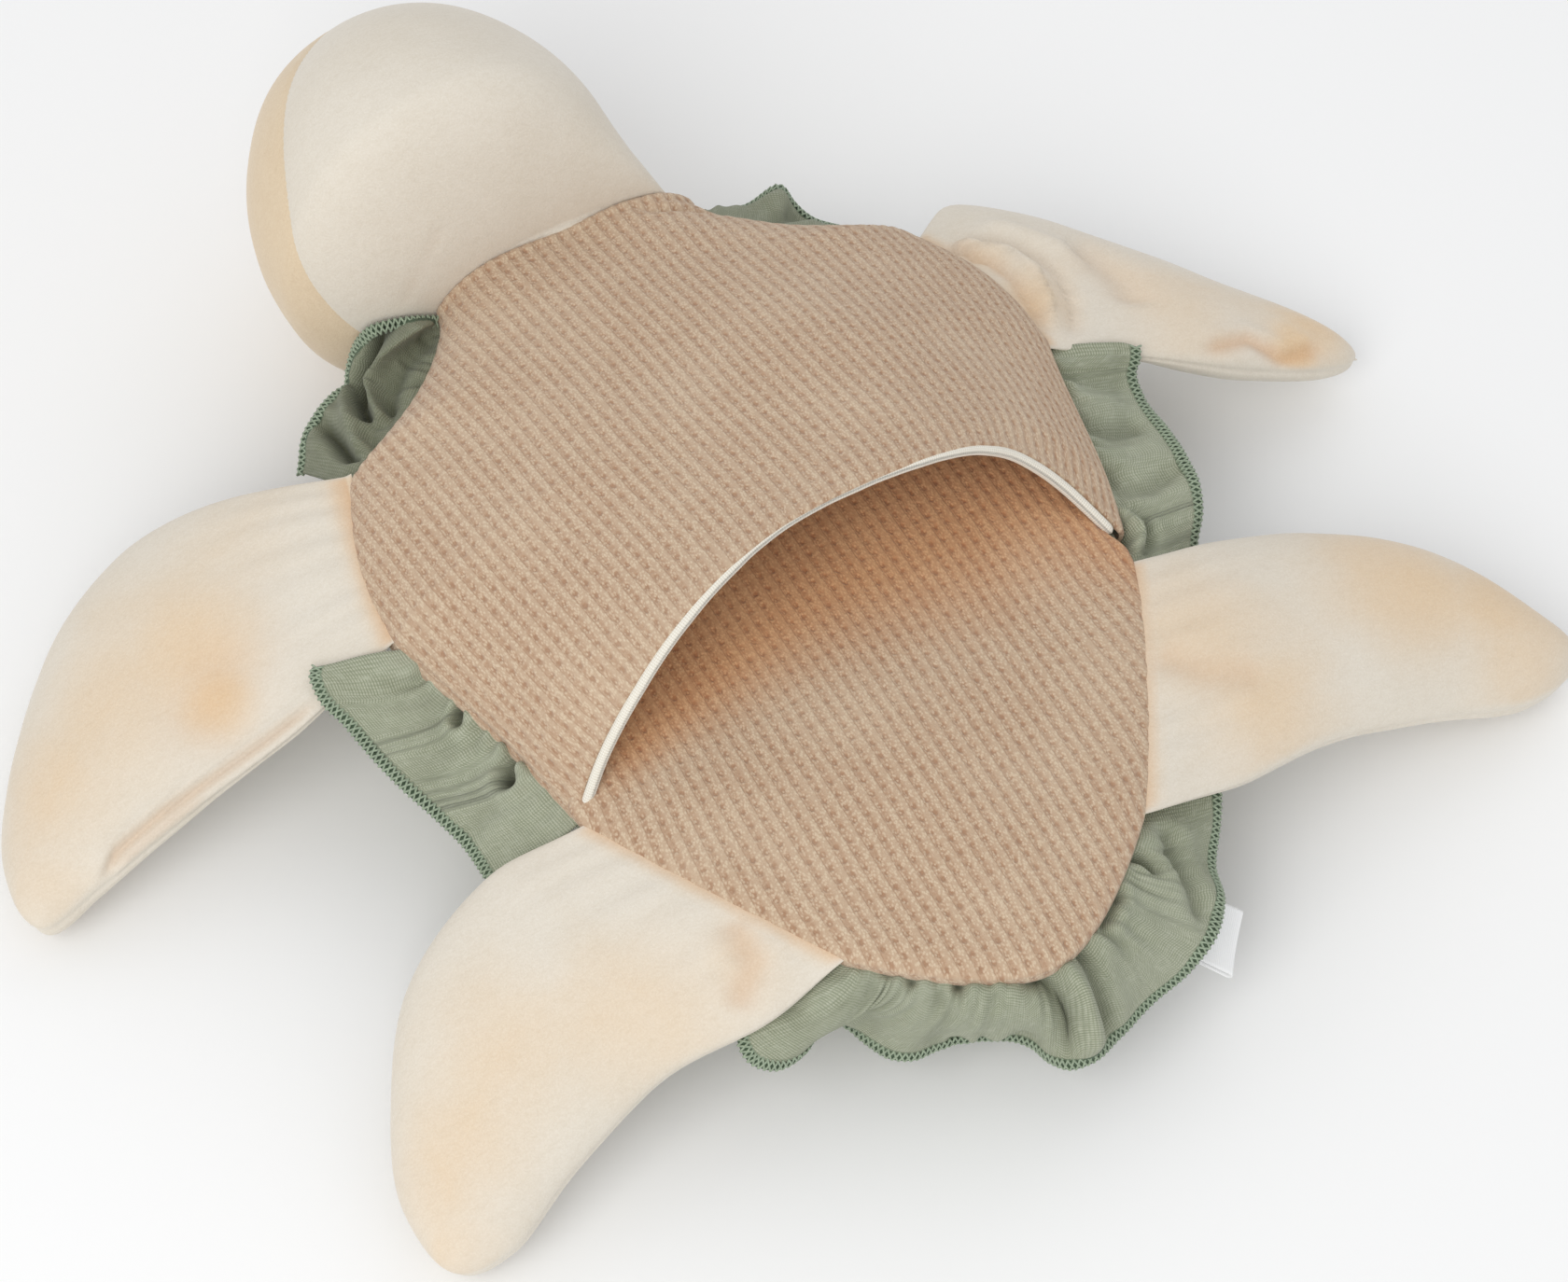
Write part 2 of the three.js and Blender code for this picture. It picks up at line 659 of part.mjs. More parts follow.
// A folded ribbon, sewn on under the tail's ruffle.
function addRibbon() {
  const half = ribbon.opening / 2 + ribbon.thickness;
  const profile = new THREE.Shape();
  profile.moveTo(0, -half);
  profile.lineTo(ribbon.reach - half, -half);
  profile.absarc(ribbon.reach - half, 0, half, -Math.PI / 2, Math.PI / 2);
  profile.lineTo(0, half);
  profile.lineTo(0, half - ribbon.thickness);
  profile.lineTo(ribbon.reach - half, half - ribbon.thickness);
  profile.absarc(ribbon.reach - half, 0, half - ribbon.thickness, Math.PI / 2, -Math.PI / 2, true);
  profile.lineTo(0, -half + ribbon.thickness);
  profile.closePath();
  const loop = new THREE.ExtrudeGeometry(profile, {
    depth: ribbon.width,
    bevelEnabled: false,
    curveSegments: ribbonArcSteps,
  });
  loop.translate(0, 0, -ribbon.width / 2);
  loop.rotateX(Math.PI / 2);

  const seam = seamStretch("tail");
  const place = ribbonPlace(seam);
  const mesh = addPiece("side_ribbon_loop", loop, cloth(colours.ribbon, 0.4));
  mesh.position.copy(place.point);
  mesh.rotation.set(0, THREE.MathUtils.degToRad(ribbon.slope), place.heading, "ZYX");
}

// Where the ribbon leaves the shell: on the dome, below the seam.
function ribbonPlace(seam) {
  let along = 0;
  while (along < 1 && seam.getPointAt(along).y > ribbonSeamY) along += 1 / curveProbes;
  const tangent = seam.getTangentAt(along);
  const out = new THREE.Vector3(-tangent.y, tangent.x, 0);
  const depth = shellRimZ - ribbonTopZ;
  const share = (1 - (depth / (shellRimZ + flatCut)) ** domePower) ** (1 / domePower);
  const rim = seam.getPointAt(along).addScaledVector(out, -bodyInset);
  const point = rim.multiplyScalar(share).addScaledVector(out, ribbonGap);
  point.z = ribbonTopZ;
  return { point, heading: Math.atan2(out.y, out.x) };
}

// Flippers

function flipperCurve(form) {
  const points = [...form.outline, ...form.trailing].map(([out, along]) => new THREE.Vector3(out, along, 0));
  return new THREE.CatmullRomCurve3(points, false, "centripetal");
}

// The outline's edge at a share of its length, moved inwards by the inset.
function flipperEdge(curve, share, inset) {
  const tangent = curve.getTangentAt(share);
  return curve.getPointAt(share).add(new THREE.Vector3(-tangent.y, tangent.x, 0).multiplyScalar(inset));
}

// An arc of each section from the rolled root to the tip, over the belly side (1) or back under it (-1).
function flipperArcs(form, inset, side) {
  const curve = flipperCurve(form);
  const rootHalf = rollRadius - gap / 2;
  const tipShare = tipOfCurve(curve);
  const arc = (lead, trail, half) =>
    Array.from({ length: flipperArcSteps + 1 }, (_, j) => {
      const angle = (Math.PI * j) / flipperArcSteps;
      const point = lead.clone().lerp(trail, (1 + side * Math.cos(angle)) / 2);
      point.z = side * (half * Math.sin(angle) + gap / 2);
      return point;
    });
  const roll = Array.from({ length: rollSteps }, (_, i) => {
    const angle = (Math.PI / 2) * (1 - i / rollSteps);
    const back = new THREE.Vector3(-(rollRadius - inset) * Math.sin(angle), 0, 0);
    const half = Math.max(0, rootHalf - inset) * Math.cos(angle);
    return arc(flipperEdge(curve, 0, inset).add(back), flipperEdge(curve, 1, inset).add(back), half);
  });
  const rest = Array.from({ length: flipperSections + 1 }, (_, i) => {
    const far = i / flipperSections;
    const eased = THREE.MathUtils.lerp(far, Math.sin((far * Math.PI) / 2), tipCrowding);
    const leadShare = tipShare * eased;
    const trailShare = 1 - (1 - tipShare) * eased;
    const halfChord = curve.getPointAt(leadShare).distanceTo(curve.getPointAt(trailShare)) / 2;
    const swell = Math.sin((Math.min(1, far / puffLength) * Math.PI) / 2);
    const full = THREE.MathUtils.lerp(rootHalf, form.thickness / 2, swell) * taper(halfChord);
    const lead = flipperEdge(curve, leadShare, inset);
    const trail = flipperEdge(curve, trailShare, inset);
    return arc(lead, trail, Math.max(0, full - inset));
  });
  return [...roll, ...rest];
}

// A narrow section is thin as well, so that the tip closes round.
function taper(halfChord) {
  return halfChord / Math.hypot(halfChord, tipSoftness);
}

// The share of the outline's length at which it is furthest from the middle of the root.
function tipOfCurve(curve) {
  const root = curve.getPointAt(0).add(curve.getPointAt(1)).divideScalar(2);
  let best = 0;
  for (let i = 0; i <= curveProbes; i++) {
    const share = i / curveProbes;
    if (curve.getPointAt(share).distanceTo(root) > curve.getPointAt(best).distanceTo(root)) best = share;
  }
  return best;
}

function flipperStuffing(form) {
  const inset = velourThickness + gap;
  const upper = flipperArcs(form, inset, 1);
  const lower = flipperArcs(form, inset, -1);
  const rings = upper.map((arc, i) => [...arc, ...lower[i]]).slice(rollSteps + 1, -1);
  return lofted(rings, undefined, middle(upper[upper.length - 1]));
}

function addFlipper(name, form) {
  const side = new THREE.Group();
  side.scale.x = form.onLeft ? 1 : -1;
  puppet.add(side);

  const start = new THREE.Vector2(...form.root.head);
  const along = new THREE.Vector2(...form.root.tail).sub(start).normalize();
  const frame = new THREE.Group();
  frame.position.set(start.x, start.y, seamZ);
  frame.rotation.set(0, THREE.MathUtils.degToRad(form.droop), Math.atan2(along.x, -along.y), "ZYX");
  side.add(frame);

  const flipped = new THREE.Group(); // its outline runs towards the tail, along -Y of the frame
  flipped.scale.y = -1;
  frame.add(flipped);

  const panel = (face) => sheet(flipperArcs(form, 0, face), flipperArcs(form, velourThickness, face));
  addPiece(`${name}_flipper_belly_panel`, panel(1), cloth(colours.ivoryVelour), flipped);
  addPiece(`${name}_flipper_back_panel`, panel(-1), cloth(colours.ivoryVelour), flipped);
  addPiece(`${name}_flipper_stuffing`, flipperStuffing(form), cloth(colours.stuffing), flipped);
}

addBody();
addHead();
addRuffles();
addRibbon();
for (const [name, form] of Object.entries(flippers)) addFlipper(name, form);

export default puppet;
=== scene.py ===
import itertools
import json
import math

import bmesh
import bpy
import numpy as np
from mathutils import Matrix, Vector
from mathutils.bvhtree import BVHTree

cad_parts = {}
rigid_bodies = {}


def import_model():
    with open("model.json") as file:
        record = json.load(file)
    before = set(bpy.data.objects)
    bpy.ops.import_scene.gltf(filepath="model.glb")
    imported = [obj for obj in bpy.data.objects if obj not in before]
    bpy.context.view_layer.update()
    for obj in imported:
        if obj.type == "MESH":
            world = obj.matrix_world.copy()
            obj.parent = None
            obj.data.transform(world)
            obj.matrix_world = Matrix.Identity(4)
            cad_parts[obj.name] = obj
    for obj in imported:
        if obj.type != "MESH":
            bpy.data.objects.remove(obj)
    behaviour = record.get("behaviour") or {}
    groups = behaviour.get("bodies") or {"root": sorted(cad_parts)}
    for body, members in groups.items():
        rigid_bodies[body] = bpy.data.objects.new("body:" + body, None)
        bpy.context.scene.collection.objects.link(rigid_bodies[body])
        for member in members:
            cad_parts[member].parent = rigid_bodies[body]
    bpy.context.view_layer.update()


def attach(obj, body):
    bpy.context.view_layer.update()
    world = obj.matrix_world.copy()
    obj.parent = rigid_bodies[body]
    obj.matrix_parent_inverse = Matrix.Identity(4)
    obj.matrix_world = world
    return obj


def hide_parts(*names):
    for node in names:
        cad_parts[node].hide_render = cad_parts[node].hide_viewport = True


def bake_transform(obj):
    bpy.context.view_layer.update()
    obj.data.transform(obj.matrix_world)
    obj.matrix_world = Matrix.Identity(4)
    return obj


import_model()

scene = bpy.context.scene
mm = 0.001  # lengths below are in millimetres until a mesh is made


def unlessQuick(full):
    return full


# camera: the photograph's own viewing angle, fitted to the outline of the body
view = dict(azimuth=-29.45, elevation=56.1, distance=1300, target=(-10.3, -5.9, 58), lens=111.4, sensor=36,
            clipEnd=20)

# the seam round the body, its left half seen from above
seam = dict(neckY=138, neckHalf=40.5, shoulder=(50, 116), frontHead=(89.2, 97.6), frontTail=(102.4, 43.9),
            waist=(90.6, 11), rearHead=(84.3, -29.8), rearTail=(44.6, -99.7), tailBend=(16, -127.5),
            tailY=-127.5, height=58, step=unlessQuick(0.75), steps=unlessQuick(480))


def clampUnit(x):
    return np.clip(x, 0, 1)


def smooth(x):
    x = clampUnit(x)
    return x * x * (3 - 2 * x)


def lerp(a, b, t):
    return a + (b - a) * t


def unit(v):
    return v / np.maximum(np.linalg.norm(v, axis=-1, keepdims=True), 1e-9)


def bell(x, width):
    return np.exp(-(x / width) ** 2)


def rounded(distance, reach):
    # rises from 0 as a quarter circle, and stays at 1 beyond reach
    return np.sqrt(clampUnit(1 - (1 - np.minimum(distance / reach, 1)) ** 2))


def endFade(where, reach, least):
    # fades a stroke out towards both its ends
    return smooth(np.minimum(where, 1 - where) / reach + least)


def upwards(normal):
    # normals turned so that they point up on the whole
    return -normal if normal[..., 2].mean() < 0 else normal


def softNoise(points, size, seed=0):
    # smooth value noise from -1 to 1, the same on every run
    q = np.asarray(points, float) / size
    cell = np.floor(q).astype(np.int64)
    f = q - cell
    f = f * f * (3 - 2 * f)
    total = np.zeros(q.shape[:-1])
    for corner in itertools.product((0, 1), repeat=q.shape[-1]):
        h = np.full(q.shape[:-1], 7919 + seed * 374761, np.int64)
        weight = np.ones(q.shape[:-1])
        for k, prime in zip(range(q.shape[-1]), (668265263, 2246822519, 3266489917)):
            h += (cell[..., k] + corner[k]) * prime
            weight *= f[..., k] if corner[k] else 1 - f[..., k]
        h = ((h ^ (h >> 13)) * 1274126177) & 0x7FFFFFFF
        total += ((h ^ (h >> 11)) % 65536 / 32767.5 - 1) * weight
    return total


def runAlong(points):
    # how far along a polyline each of its points lies
    return np.r_[0, np.cumsum(np.linalg.norm(np.diff(np.asarray(points, float), axis=0), axis=1))]


def runDown(grid):
    # how far down its own column each point of a grid lies
    steps = np.linalg.norm(np.diff(grid, axis=0), axis=2)
    return np.concatenate([np.zeros((1, grid.shape[1])), np.cumsum(steps, axis=0)])


def traced(at, run, points):
    # points read off a polyline at places measured along it
    return np.stack([np.interp(at, run, column) for column in points.T], -1)


def resample(points, count):
    # equal steps along a polyline, and its length
    points = np.asarray(points, float)
    run = runAlong(points)
    return traced(np.linspace(0, run[-1], count), run, points), run[-1]


def splinePoints(knots, values, at):
    # a smooth curve through values given at rising knots
    knots, values, at = (np.asarray(x, float) for x in (knots, values, at))
    slopes = np.gradient(values, knots, axis=0)
    i = np.clip(np.searchsorted(knots, at) - 1, 0, len(knots) - 2)
    h = knots[i + 1] - knots[i]
    t = (at - knots[i]) / h
    shape = (-1,) + (1,) * (values.ndim - 1)
    t, h = t.reshape(shape), h.reshape(shape)
    return ((1 + 2 * t) * (1 - t) ** 2 * values[i] + t * (1 - t) ** 2 * h * slopes[i]
            + t * t * (3 - 2 * t) * values[i + 1] + t * t * (t - 1) * h * slopes[i + 1])


def readTable(pairs, at):
    # a smooth curve through pairs of a knot and its value
    knots = np.array(pairs, float)
    return splinePoints(knots[:, 0], knots[:, 1], at)


def strokeDistance(points, line):
    # distance from points to a polyline, and where along it the nearest spot lies, from 0 to 1
    line = np.asarray(line, float)
    best = np.full(points.shape[:-1], 1e9)
    where = np.zeros(points.shape[:-1])
    for k, (a, b) in enumerate(zip(line[:-1], line[1:])):
        t = clampUnit(((points - a) @ (b - a)) / ((b - a) @ (b - a)))
        d = np.linalg.norm(points - (a + t[..., None] * (b - a)), axis=-1)
        where = np.where(d < best, (k + t) / (len(line) - 1), where)
        best = np.minimum(best, d)
    return best, where


# meshes
def linked(name, data):
    made = bpy.data.objects.new(name, data)
    scene.collection.objects.link(made)
    return made


def smoothShade(piece):
    piece.data.polygons.foreach_set("use_smooth", np.ones(len(piece.data.polygons), bool))
    return piece


def inMetres(points):
    return (np.asarray(points) * mm).astype(np.float32).ravel()


def addMarks(mesh, marks, kind="FLOAT", field="value"):
    # one value or vector for each point
    for key, values in marks.items():
        layer = mesh.attributes.new(key, kind, "POINT")
        layer.data.foreach_set(field, np.asarray(values, np.float32).ravel())


def makeMesh(name, points, faces, uv=None, marks=None):
    # points in millimetres, faces as an array of triangles or squares, uv and marks for each point
    points = np.asarray(points, float).reshape(-1, 3)
    mesh = bpy.data.meshes.new(name)
    mesh.vertices.add(len(points))
    mesh.vertices.foreach_set("co", inMetres(points))
    mesh.loops.add(faces.size)
    mesh.loops.foreach_set("vertex_index", faces.ravel().astype(np.int32))
    mesh.polygons.add(len(faces))
    mesh.polygons.foreach_set("loop_start", np.arange(0, faces.size, faces.shape[1], dtype=np.int32))
    mesh.update(calc_edges=True)
    mesh.validate()
    addMarks(mesh, marks or {})
    if uv is not None:
        flat = np.asarray(uv, np.float32).reshape(-1, 2)[faces.ravel()]
        mesh.uv_layers.new(name="cloth").data.foreach_set("uv", flat.ravel())
    return smoothShade(linked(name, mesh))


def gridFaces(rows, columns, wrap=False):
    i, j = np.meshgrid(np.arange(rows - 1), np.arange(columns if wrap else columns - 1), indexing="ij")
    here, beside = i * columns + j, i * columns + (j + 1) % columns
    return np.stack([here, beside, beside + columns, here + columns], -1).reshape(-1, 4)


def gridMesh(name, grid, uv, marks=None, wrap=False):
    return makeMesh(name, grid, gridFaces(*grid.shape[:2], wrap), uv, marks)


def gridNormals(grid, wrap=False):
    if wrap:
        across = np.roll(grid, -1, 1) - np.roll(grid, 1, 1)
    else:
        across = np.gradient(grid, axis=1)
    return unit(np.cross(across, np.gradient(grid, axis=0)))


def fanFaces(ring, centre):
    # triangles from a ring of points to one point
    return np.stack([ring, np.roll(ring, -1), np.full(len(ring), centre)], -1)


def edited(piece, change):
    # one change to a piece's mesh
    work = bmesh.new()
    work.from_mesh(piece.data)
    change(work)
    work.to_mesh(piece.data)
    work.free()
    return smoothShade(piece)


def addFan(piece, triangles):
    def change(work):
        work.verts.ensure_lookup_table()
        for triangle in triangles:
            work.faces.new([work.verts[int(k)] for k in triangle])

    return edited(piece, change)


def cleaned(piece, distance=0.0005, outwards=True):
    # merges doubles and turns the faces outwards
    def change(work):
        bmesh.ops.remove_doubles(work, verts=work.verts, dist=distance * mm)
        if outwards:
            bmesh.ops.recalc_face_normals(work, faces=work.faces)

    return edited(piece, change)


def capEnds(piece):
    # closes the open ends of a roll
    def change(work):
        bmesh.ops.holes_fill(work, edges=[e for e in work.edges if e.is_boundary], sides=0)
        bmesh.ops.recalc_face_normals(work, faces=work.faces)

    return edited(piece, change)


def faceUp(piece, sample):
    # turns a sheet over where a sample of its faces looks down
    faces = piece.data.polygons
    if faces[len(faces) // sample].normal.z < 0:
        piece.data.flip_normals()


def finished(piece):
    # live modifiers become a plain mesh
    graph = bpy.context.evaluated_depsgraph_get()
    graph.update()
    mesh = bpy.data.meshes.new_from_object(piece.evaluated_get(graph), depsgraph=graph)
    old = piece.data
    piece.modifiers.clear()
    piece.data = mesh
    mesh.name = piece.name
    if old.users == 0:
        bpy.data.meshes.remove(old)
    return piece


def thicken(piece, thickness, offset=-1.0):
    wall = piece.modifiers.new("wall", "SOLIDIFY")
    wall.thickness = thickness * mm
    wall.offset = offset
    return finished(piece)


def dress(piece, material, body=None):
    piece.data.materials.clear()
    piece.data.materials.append(material)
    if body:
        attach(piece, body)
    return piece


# shader maths
class Wire:
    # a socket that takes part in Python expressions
    def __init__(self, tree, socket):
        self.tree = tree
        self.socket = socket

    def maths(self, operation, *values):
        return self.tree.wire(0, "ShaderNodeMath", dict(operation=operation), dict(enumerate(values)))

    def __add__(self, other):
        return self.maths("ADD", self, other)

    def __radd__(self, other):
        return self.maths("ADD", other, self)

    def __sub__(self, other):
        return self.maths("SUBTRACT", self, other)

    def __rsub__(self, other):
        return self.maths("SUBTRACT", other, self)

    def __mul__(self, other):
        return self.maths("MULTIPLY", self, other)

    def __rmul__(self, other):
        return self.maths("MULTIPLY", other, self)

    def __truediv__(self, other):
        return self.maths("DIVIDE", self, other)

    def __pow__(self, other):
        return self.maths("POWER", self, other)

    def wave(self, pitch, shift):
        # a sine along this value, one turn in each pitch
        return self.maths("SINE", self * (2 * math.pi / pitch) + shift)

    def clamp(self):
        made = self.maths("ADD", self, 0.0)
        made.socket.node.use_clamp = True
        return made

    def ramp(self, low, high):
        # 0 below low, 1 above high, smooth between
        return self.tree.wire(0, "ShaderNodeMapRange", dict(interpolation_type="SMOOTHSTEP"),
                              {"Value": self, "From Min": low, "From Max": high})


class ClothMaterial:
    def __init__(self, name, shader=None):
        self.material = bpy.data.materials.new(name)
        self.material.use_nodes = True
        self.nodes = self.material.node_tree.nodes
        self.shader = self.nodes["Principled BSDF"]
        for key, value in (shader or {}).items():
            self.shader.inputs[key].default_value = value

    def join(self, value, socket):
        if isinstance(value, Wire):
            self.material.node_tree.links.new(value.socket, socket)
        elif isinstance(value, (tuple, list)) and socket.type == "RGBA":
            socket.default_value = (*value[:3], 1)
        else:
            socket.default_value = value

    def node(self, kind, settings=None, values=None):
        made = self.nodes.new(kind)
        for key, value in (settings or {}).items():
            setattr(made, key, value)
        for key, value in (values or {}).items():
            self.join(value, made.inputs[key])
        return made

    def wire(self, output, kind, settings=None, values=None):
        return Wire(self, self.node(kind, settings, values).outputs[output])

    def place(self, scale=(1, 1, 1), source="Object", turn=0.0):
        # Object or UV coordinates, scaled: object units are metres and UV units are millimetres
        start = self.wire(source, "ShaderNodeTexCoord")
        return self.wire(0, "ShaderNodeMapping", None,
                         {"Vector": start, "Scale": scale, "Rotation": (0, 0, math.radians(turn))})

    def noise(self, place, scale, detail=2.0, roughness=0.5, distortion=0.0):
        return self.wire("Fac", "ShaderNodeTexNoise", None,
                         {"Vector": place, "Scale": scale, "Detail": detail, "Roughness": roughness,
                          "Distortion": distortion})

    def cells(self, place, scale):
        return self.wire("Distance", "ShaderNodeTexVoronoi", None, {"Vector": place, "Scale": scale})

    def mark(self, name):
        return self.wire("Fac", "ShaderNodeAttribute", dict(attribute_name=name))

    def parts(self, place):
        made = self.node("ShaderNodeSeparateXYZ", None, {"Vector": place})
        return [Wire(self, socket) for socket in made.outputs]

    def mix(self, share, first, second, blend="MIX"):
        return self.wire(2, "ShaderNodeMix", dict(data_type="RGBA", blend_type=blend),
                         {0: share, 6: first, 7: second})

    def layered(self, ground, *layers):
        # colours laid over the ground one after another, each by its own share
        for share, colour in layers:
            ground = self.mix(share, ground, srgb(*colour))
        return ground

    def bump(self, height, distance, strength):
        self.join(self.wire(0, "ShaderNodeBump", None,
                            {"Height": height, "Distance": distance * mm, "Strength": strength}),
                  self.shader.inputs["Normal"])

    def surface(self, colour, rough):
        self.join(colour, self.shader.inputs["Base Color"])
        self.join(rough, self.shader.inputs["Roughness"])
        return self.material


def srgb(r, g, b):
    # a colour given from 0 to 255 as it is seen
    return tuple(((c / 255 + 0.055) / 1.055) ** 2.4 if c > 10 else c / 255 / 12.92 for c in (r, g, b))


# brushed velour, peach where the blush mark lays it; the hollow colour is painted shade, laid in creases,
# folds and along the flippers' roots
velours = dict(
    ivory=dict(light=(222, 214, 200), dark=(208, 197, 178), peach=(226, 196, 158), hollowShade=(206, 160, 116)),
    beige=dict(light=(219, 199, 170), dark=(208, 183, 148), peach=(218, 188, 148), hollowShade=(196, 156, 114)))


def velourMaterial(name, light, dark, peach, hollowShade):
    made = ClothMaterial(name, {"Sheen Weight": 0.35, "Sheen Roughness": 0.4,
                                "Sheen Tint": (1, 0.97, 0.93, 1), "Specular IOR Level": 0.12})
    place = made.place()
    patches = made.noise(place, 34, 3, 0.5, 0.4)
    nap = made.noise(made.place((1, 2.2, 1), turn=25), 330, 3, 0.6, 0.8)
    pile = made.noise(place, 1700, 2, 0.7)
    tufts = made.noise(place, 620, 3, 0.65)
    # the blush mark's peach is partly painted shade in hollows and painted sheen, partly random tone; the
    # crease mark lays the hollow colour as painted shade
    warm = made.mark("blush") + (patches - 0.5) * 0.35
    ground = made.layered(srgb(*light), (patches.ramp(0.3, 0.8) * 0.26, dark),
                          (warm.ramp(0.05, 0.95) * 0.9, peach), (made.mark("crease").clamp(), hollowShade))
    ground = made.mix(nap.ramp(0.4, 0.72) * 0.09, ground, srgb(*dark), "MULTIPLY")
    ground = made.layered(ground, (tufts.ramp(0.45, 0.75) * 0.08, light))
    ground = made.mix(pile.ramp(0.3, 0.8) * 0.24, ground, (1, 1, 1), "SOFT_LIGHT")
    made.bump(pile * 0.8 + tufts * 0.5 + nap * 0.35, 0.4, 0.4)
    return made.surface(ground, 0.86 + 0.1 * pile)


# waffle knit: smooth ribs edged by a fine dark line, and between them rows of looped pits; its colours paint
# light on the raised ribs and shade in the pits, the loop holes and the line, and deep is a painted brown
# shade for the belly under the pocket
knit = dict(ribPitch=3.8, pitPitch=4.3, pitAcross=0.9, pitAlong=1.15, depth=0.36, lineAt=0.95,
            top=(212, 193, 166), yarn=(203, 178, 150), pit=(148, 98, 65), glow=(232, 216, 191),
            deep=(1, 0.74, 0.54))


def knitRelief(u, v):
    # height over the knit: about 1 on a rib, lower between, lowest in a pit
    side = u / knit["ribPitch"]
    side = np.abs(side - np.round(side)) * knit["ribPitch"]
    rib = 1 - smooth(side / (knit["ribPitch"] / 2))
    along = v / knit["pitPitch"]
    along = (along - np.round(along)) * knit["pitPitch"]
    pit = 1 - ((knit["ribPitch"] / 2 - side) / knit["pitAcross"]) ** 2 - (along / knit["pitAlong"]) ** 2
    return lerp(0.6, 1, rib) - 0.6 * smooth(pit * 1.3)


def knitMaterial():
    made = ClothMaterial("waffle_knit", {"Sheen Weight": 0.2, "Sheen Roughness": 0.6,
                                         "Specular IOR Level": 0.1})
    flat = made.place(source="UV")
    u, v, _ = made.parts(flat)
    wobble = made.noise(flat, 0.9, 2) - 0.5
    loops = made.cells(made.place((1.15, 0.8, 1), source="UV"), 1.25)
    fibre = made.noise(flat, 2.1, 3, 0.8)
    patches = made.noise(made.place(), 30, 2)
    bent = u + wobble * 0.4
    side = bent.maths("PINGPONG", bent, knit["ribPitch"] / 2)
    bentAlong = v + wobble * 0.7
    along = bentAlong.maths("PINGPONG", bentAlong, knit["pitPitch"] / 2)
    turn = bent / knit["ribPitch"]
    gap = turn.maths("FRACT", turn) * knit["ribPitch"] - knit["lineAt"]
    across = (knit["ribPitch"] / 2 - side) / knit["pitAcross"]
    near = (1 - across * across - (along / knit["pitAlong"]) ** 2).ramp(0.0, 0.9)
    beyond = (knit["pitPitch"] / 2 - along) / (knit["pitAlong"] * 0.7)
    pit = near + (1 - across * across - beyond ** 2).ramp(0.0, 0.9) * 0.35
    rib = 1 - side.ramp(0.25, 1.7)
    line = 1 - gap.maths("ABSOLUTE", gap).ramp(0.03, 0.26)
    speck = loops.ramp(0.2, 0.6)
    # painted light and shade: the top colour lighter on the ribs, the pit colour darker in the pits, the loop
    # holes and the line beside each rib
    ground = made.layered(
        srgb(*knit["yarn"]), (rib * 0.6, knit["top"]), (fibre.ramp(0.46, 0.68) * 0.5, knit["glow"]),
        ((1 - rib * 0.22) * speck * 0.42, knit["pit"]), (pit * (0.05 + speck * 0.36), knit["pit"]),
        (line * 0.32, knit["pit"]), (patches.ramp(0.4, 0.75) * 0.12, knit["glow"]))
    # painted shade: the knit turned darker and browner where the deep mark says it lies under the pocket
    ground = made.mix(made.mark("deep").clamp(), ground, knit["deep"], "MULTIPLY")
    made.bump(rib * 0.2 - pit * 0.45 - line * 0.4 - loops * (0.6 + pit * 0.5) + fibre * 0.7, 0.4, 0.6)
    return made.surface(ground, 0.92)


# plain-weave cotton of the ruffle and the shell; its darkest olive is painted shade for the ruffle's folds
poplin = dict(thread=0.8, face=(180, 183, 161), dark=(136, 142, 119), pale=(196, 199, 181), edge=(80, 97, 76),
              paintedFoldShade=(84, 86, 66))


def poplinMaterial():
    made = ClothMaterial("poplin", {"Sheen Weight": 0.12, "Sheen Roughness": 0.5, "Specular IOR Level": 0.15})
    u, v, _ = made.parts(made.place(source="UV"))
    slub = made.noise(made.place((1, 0.1, 1), source="UV"), 1.9, 3)
    thick = made.noise(made.place((0.1, 1, 1), source="UV"), 1.9, 3)
    warp = u.wave(poplin["thread"], slub * 2)
    weft = v.wave(poplin["thread"], thick * 2)
    weave = warp * 0.45 + weft * 0.8 + warp * weft * 0.5
    patches = made.noise(made.place(), 40, 3)
    # the fold-shade mark lays painted shade, a dark olive, into the ruffle's folds and over its shaded neck
    # strips
    ground = made.layered(
        srgb(*poplin["dark"]), (weave.ramp(-0.9, 0.9), poplin["face"]),
        (slub.ramp(0.5, 0.75) * 0.34, poplin["pale"]),
        (thick.ramp(0.5, 0.75) * 0.34, poplin["pale"]), ((1 - slub.ramp(0.3, 0.5)) * 0.3, poplin["dark"]),
        (patches.ramp(0.4, 0.7) * 0.18, poplin["pale"]), (made.mark("paintedFoldShade").clamp(), poplin["paintedFoldShade"]),
        (made.mark("edge").clamp(), poplin["edge"]))
    made.bump(weave * 0.5 + slub * 0.3 + thick * 0.3, 0.14, 0.9)
    return made.surface(ground, 0.86)


def threadMaterial(name, colour):
    made = ClothMaterial(name, {"Sheen Weight": 0.2, "Specular IOR Level": 0.3})
    fibre = made.noise(made.place(), 1500, 2)
    ground = made.mix(fibre.ramp(0.3, 0.75), tuple(c * 0.72 for c in srgb(*colour)), srgb(*colour))
    made.bump(fibre, 0.1, 0.7)
    return made.surface(ground, 0.6)


# the pocket's lining, and the ribbon
jersey = dict(wale=0.75, course=0.6, low=(226, 219, 203), high=(246, 242, 231))
satin = dict(rib=0.55, low=(246, 247, 247), high=(255, 255, 255))


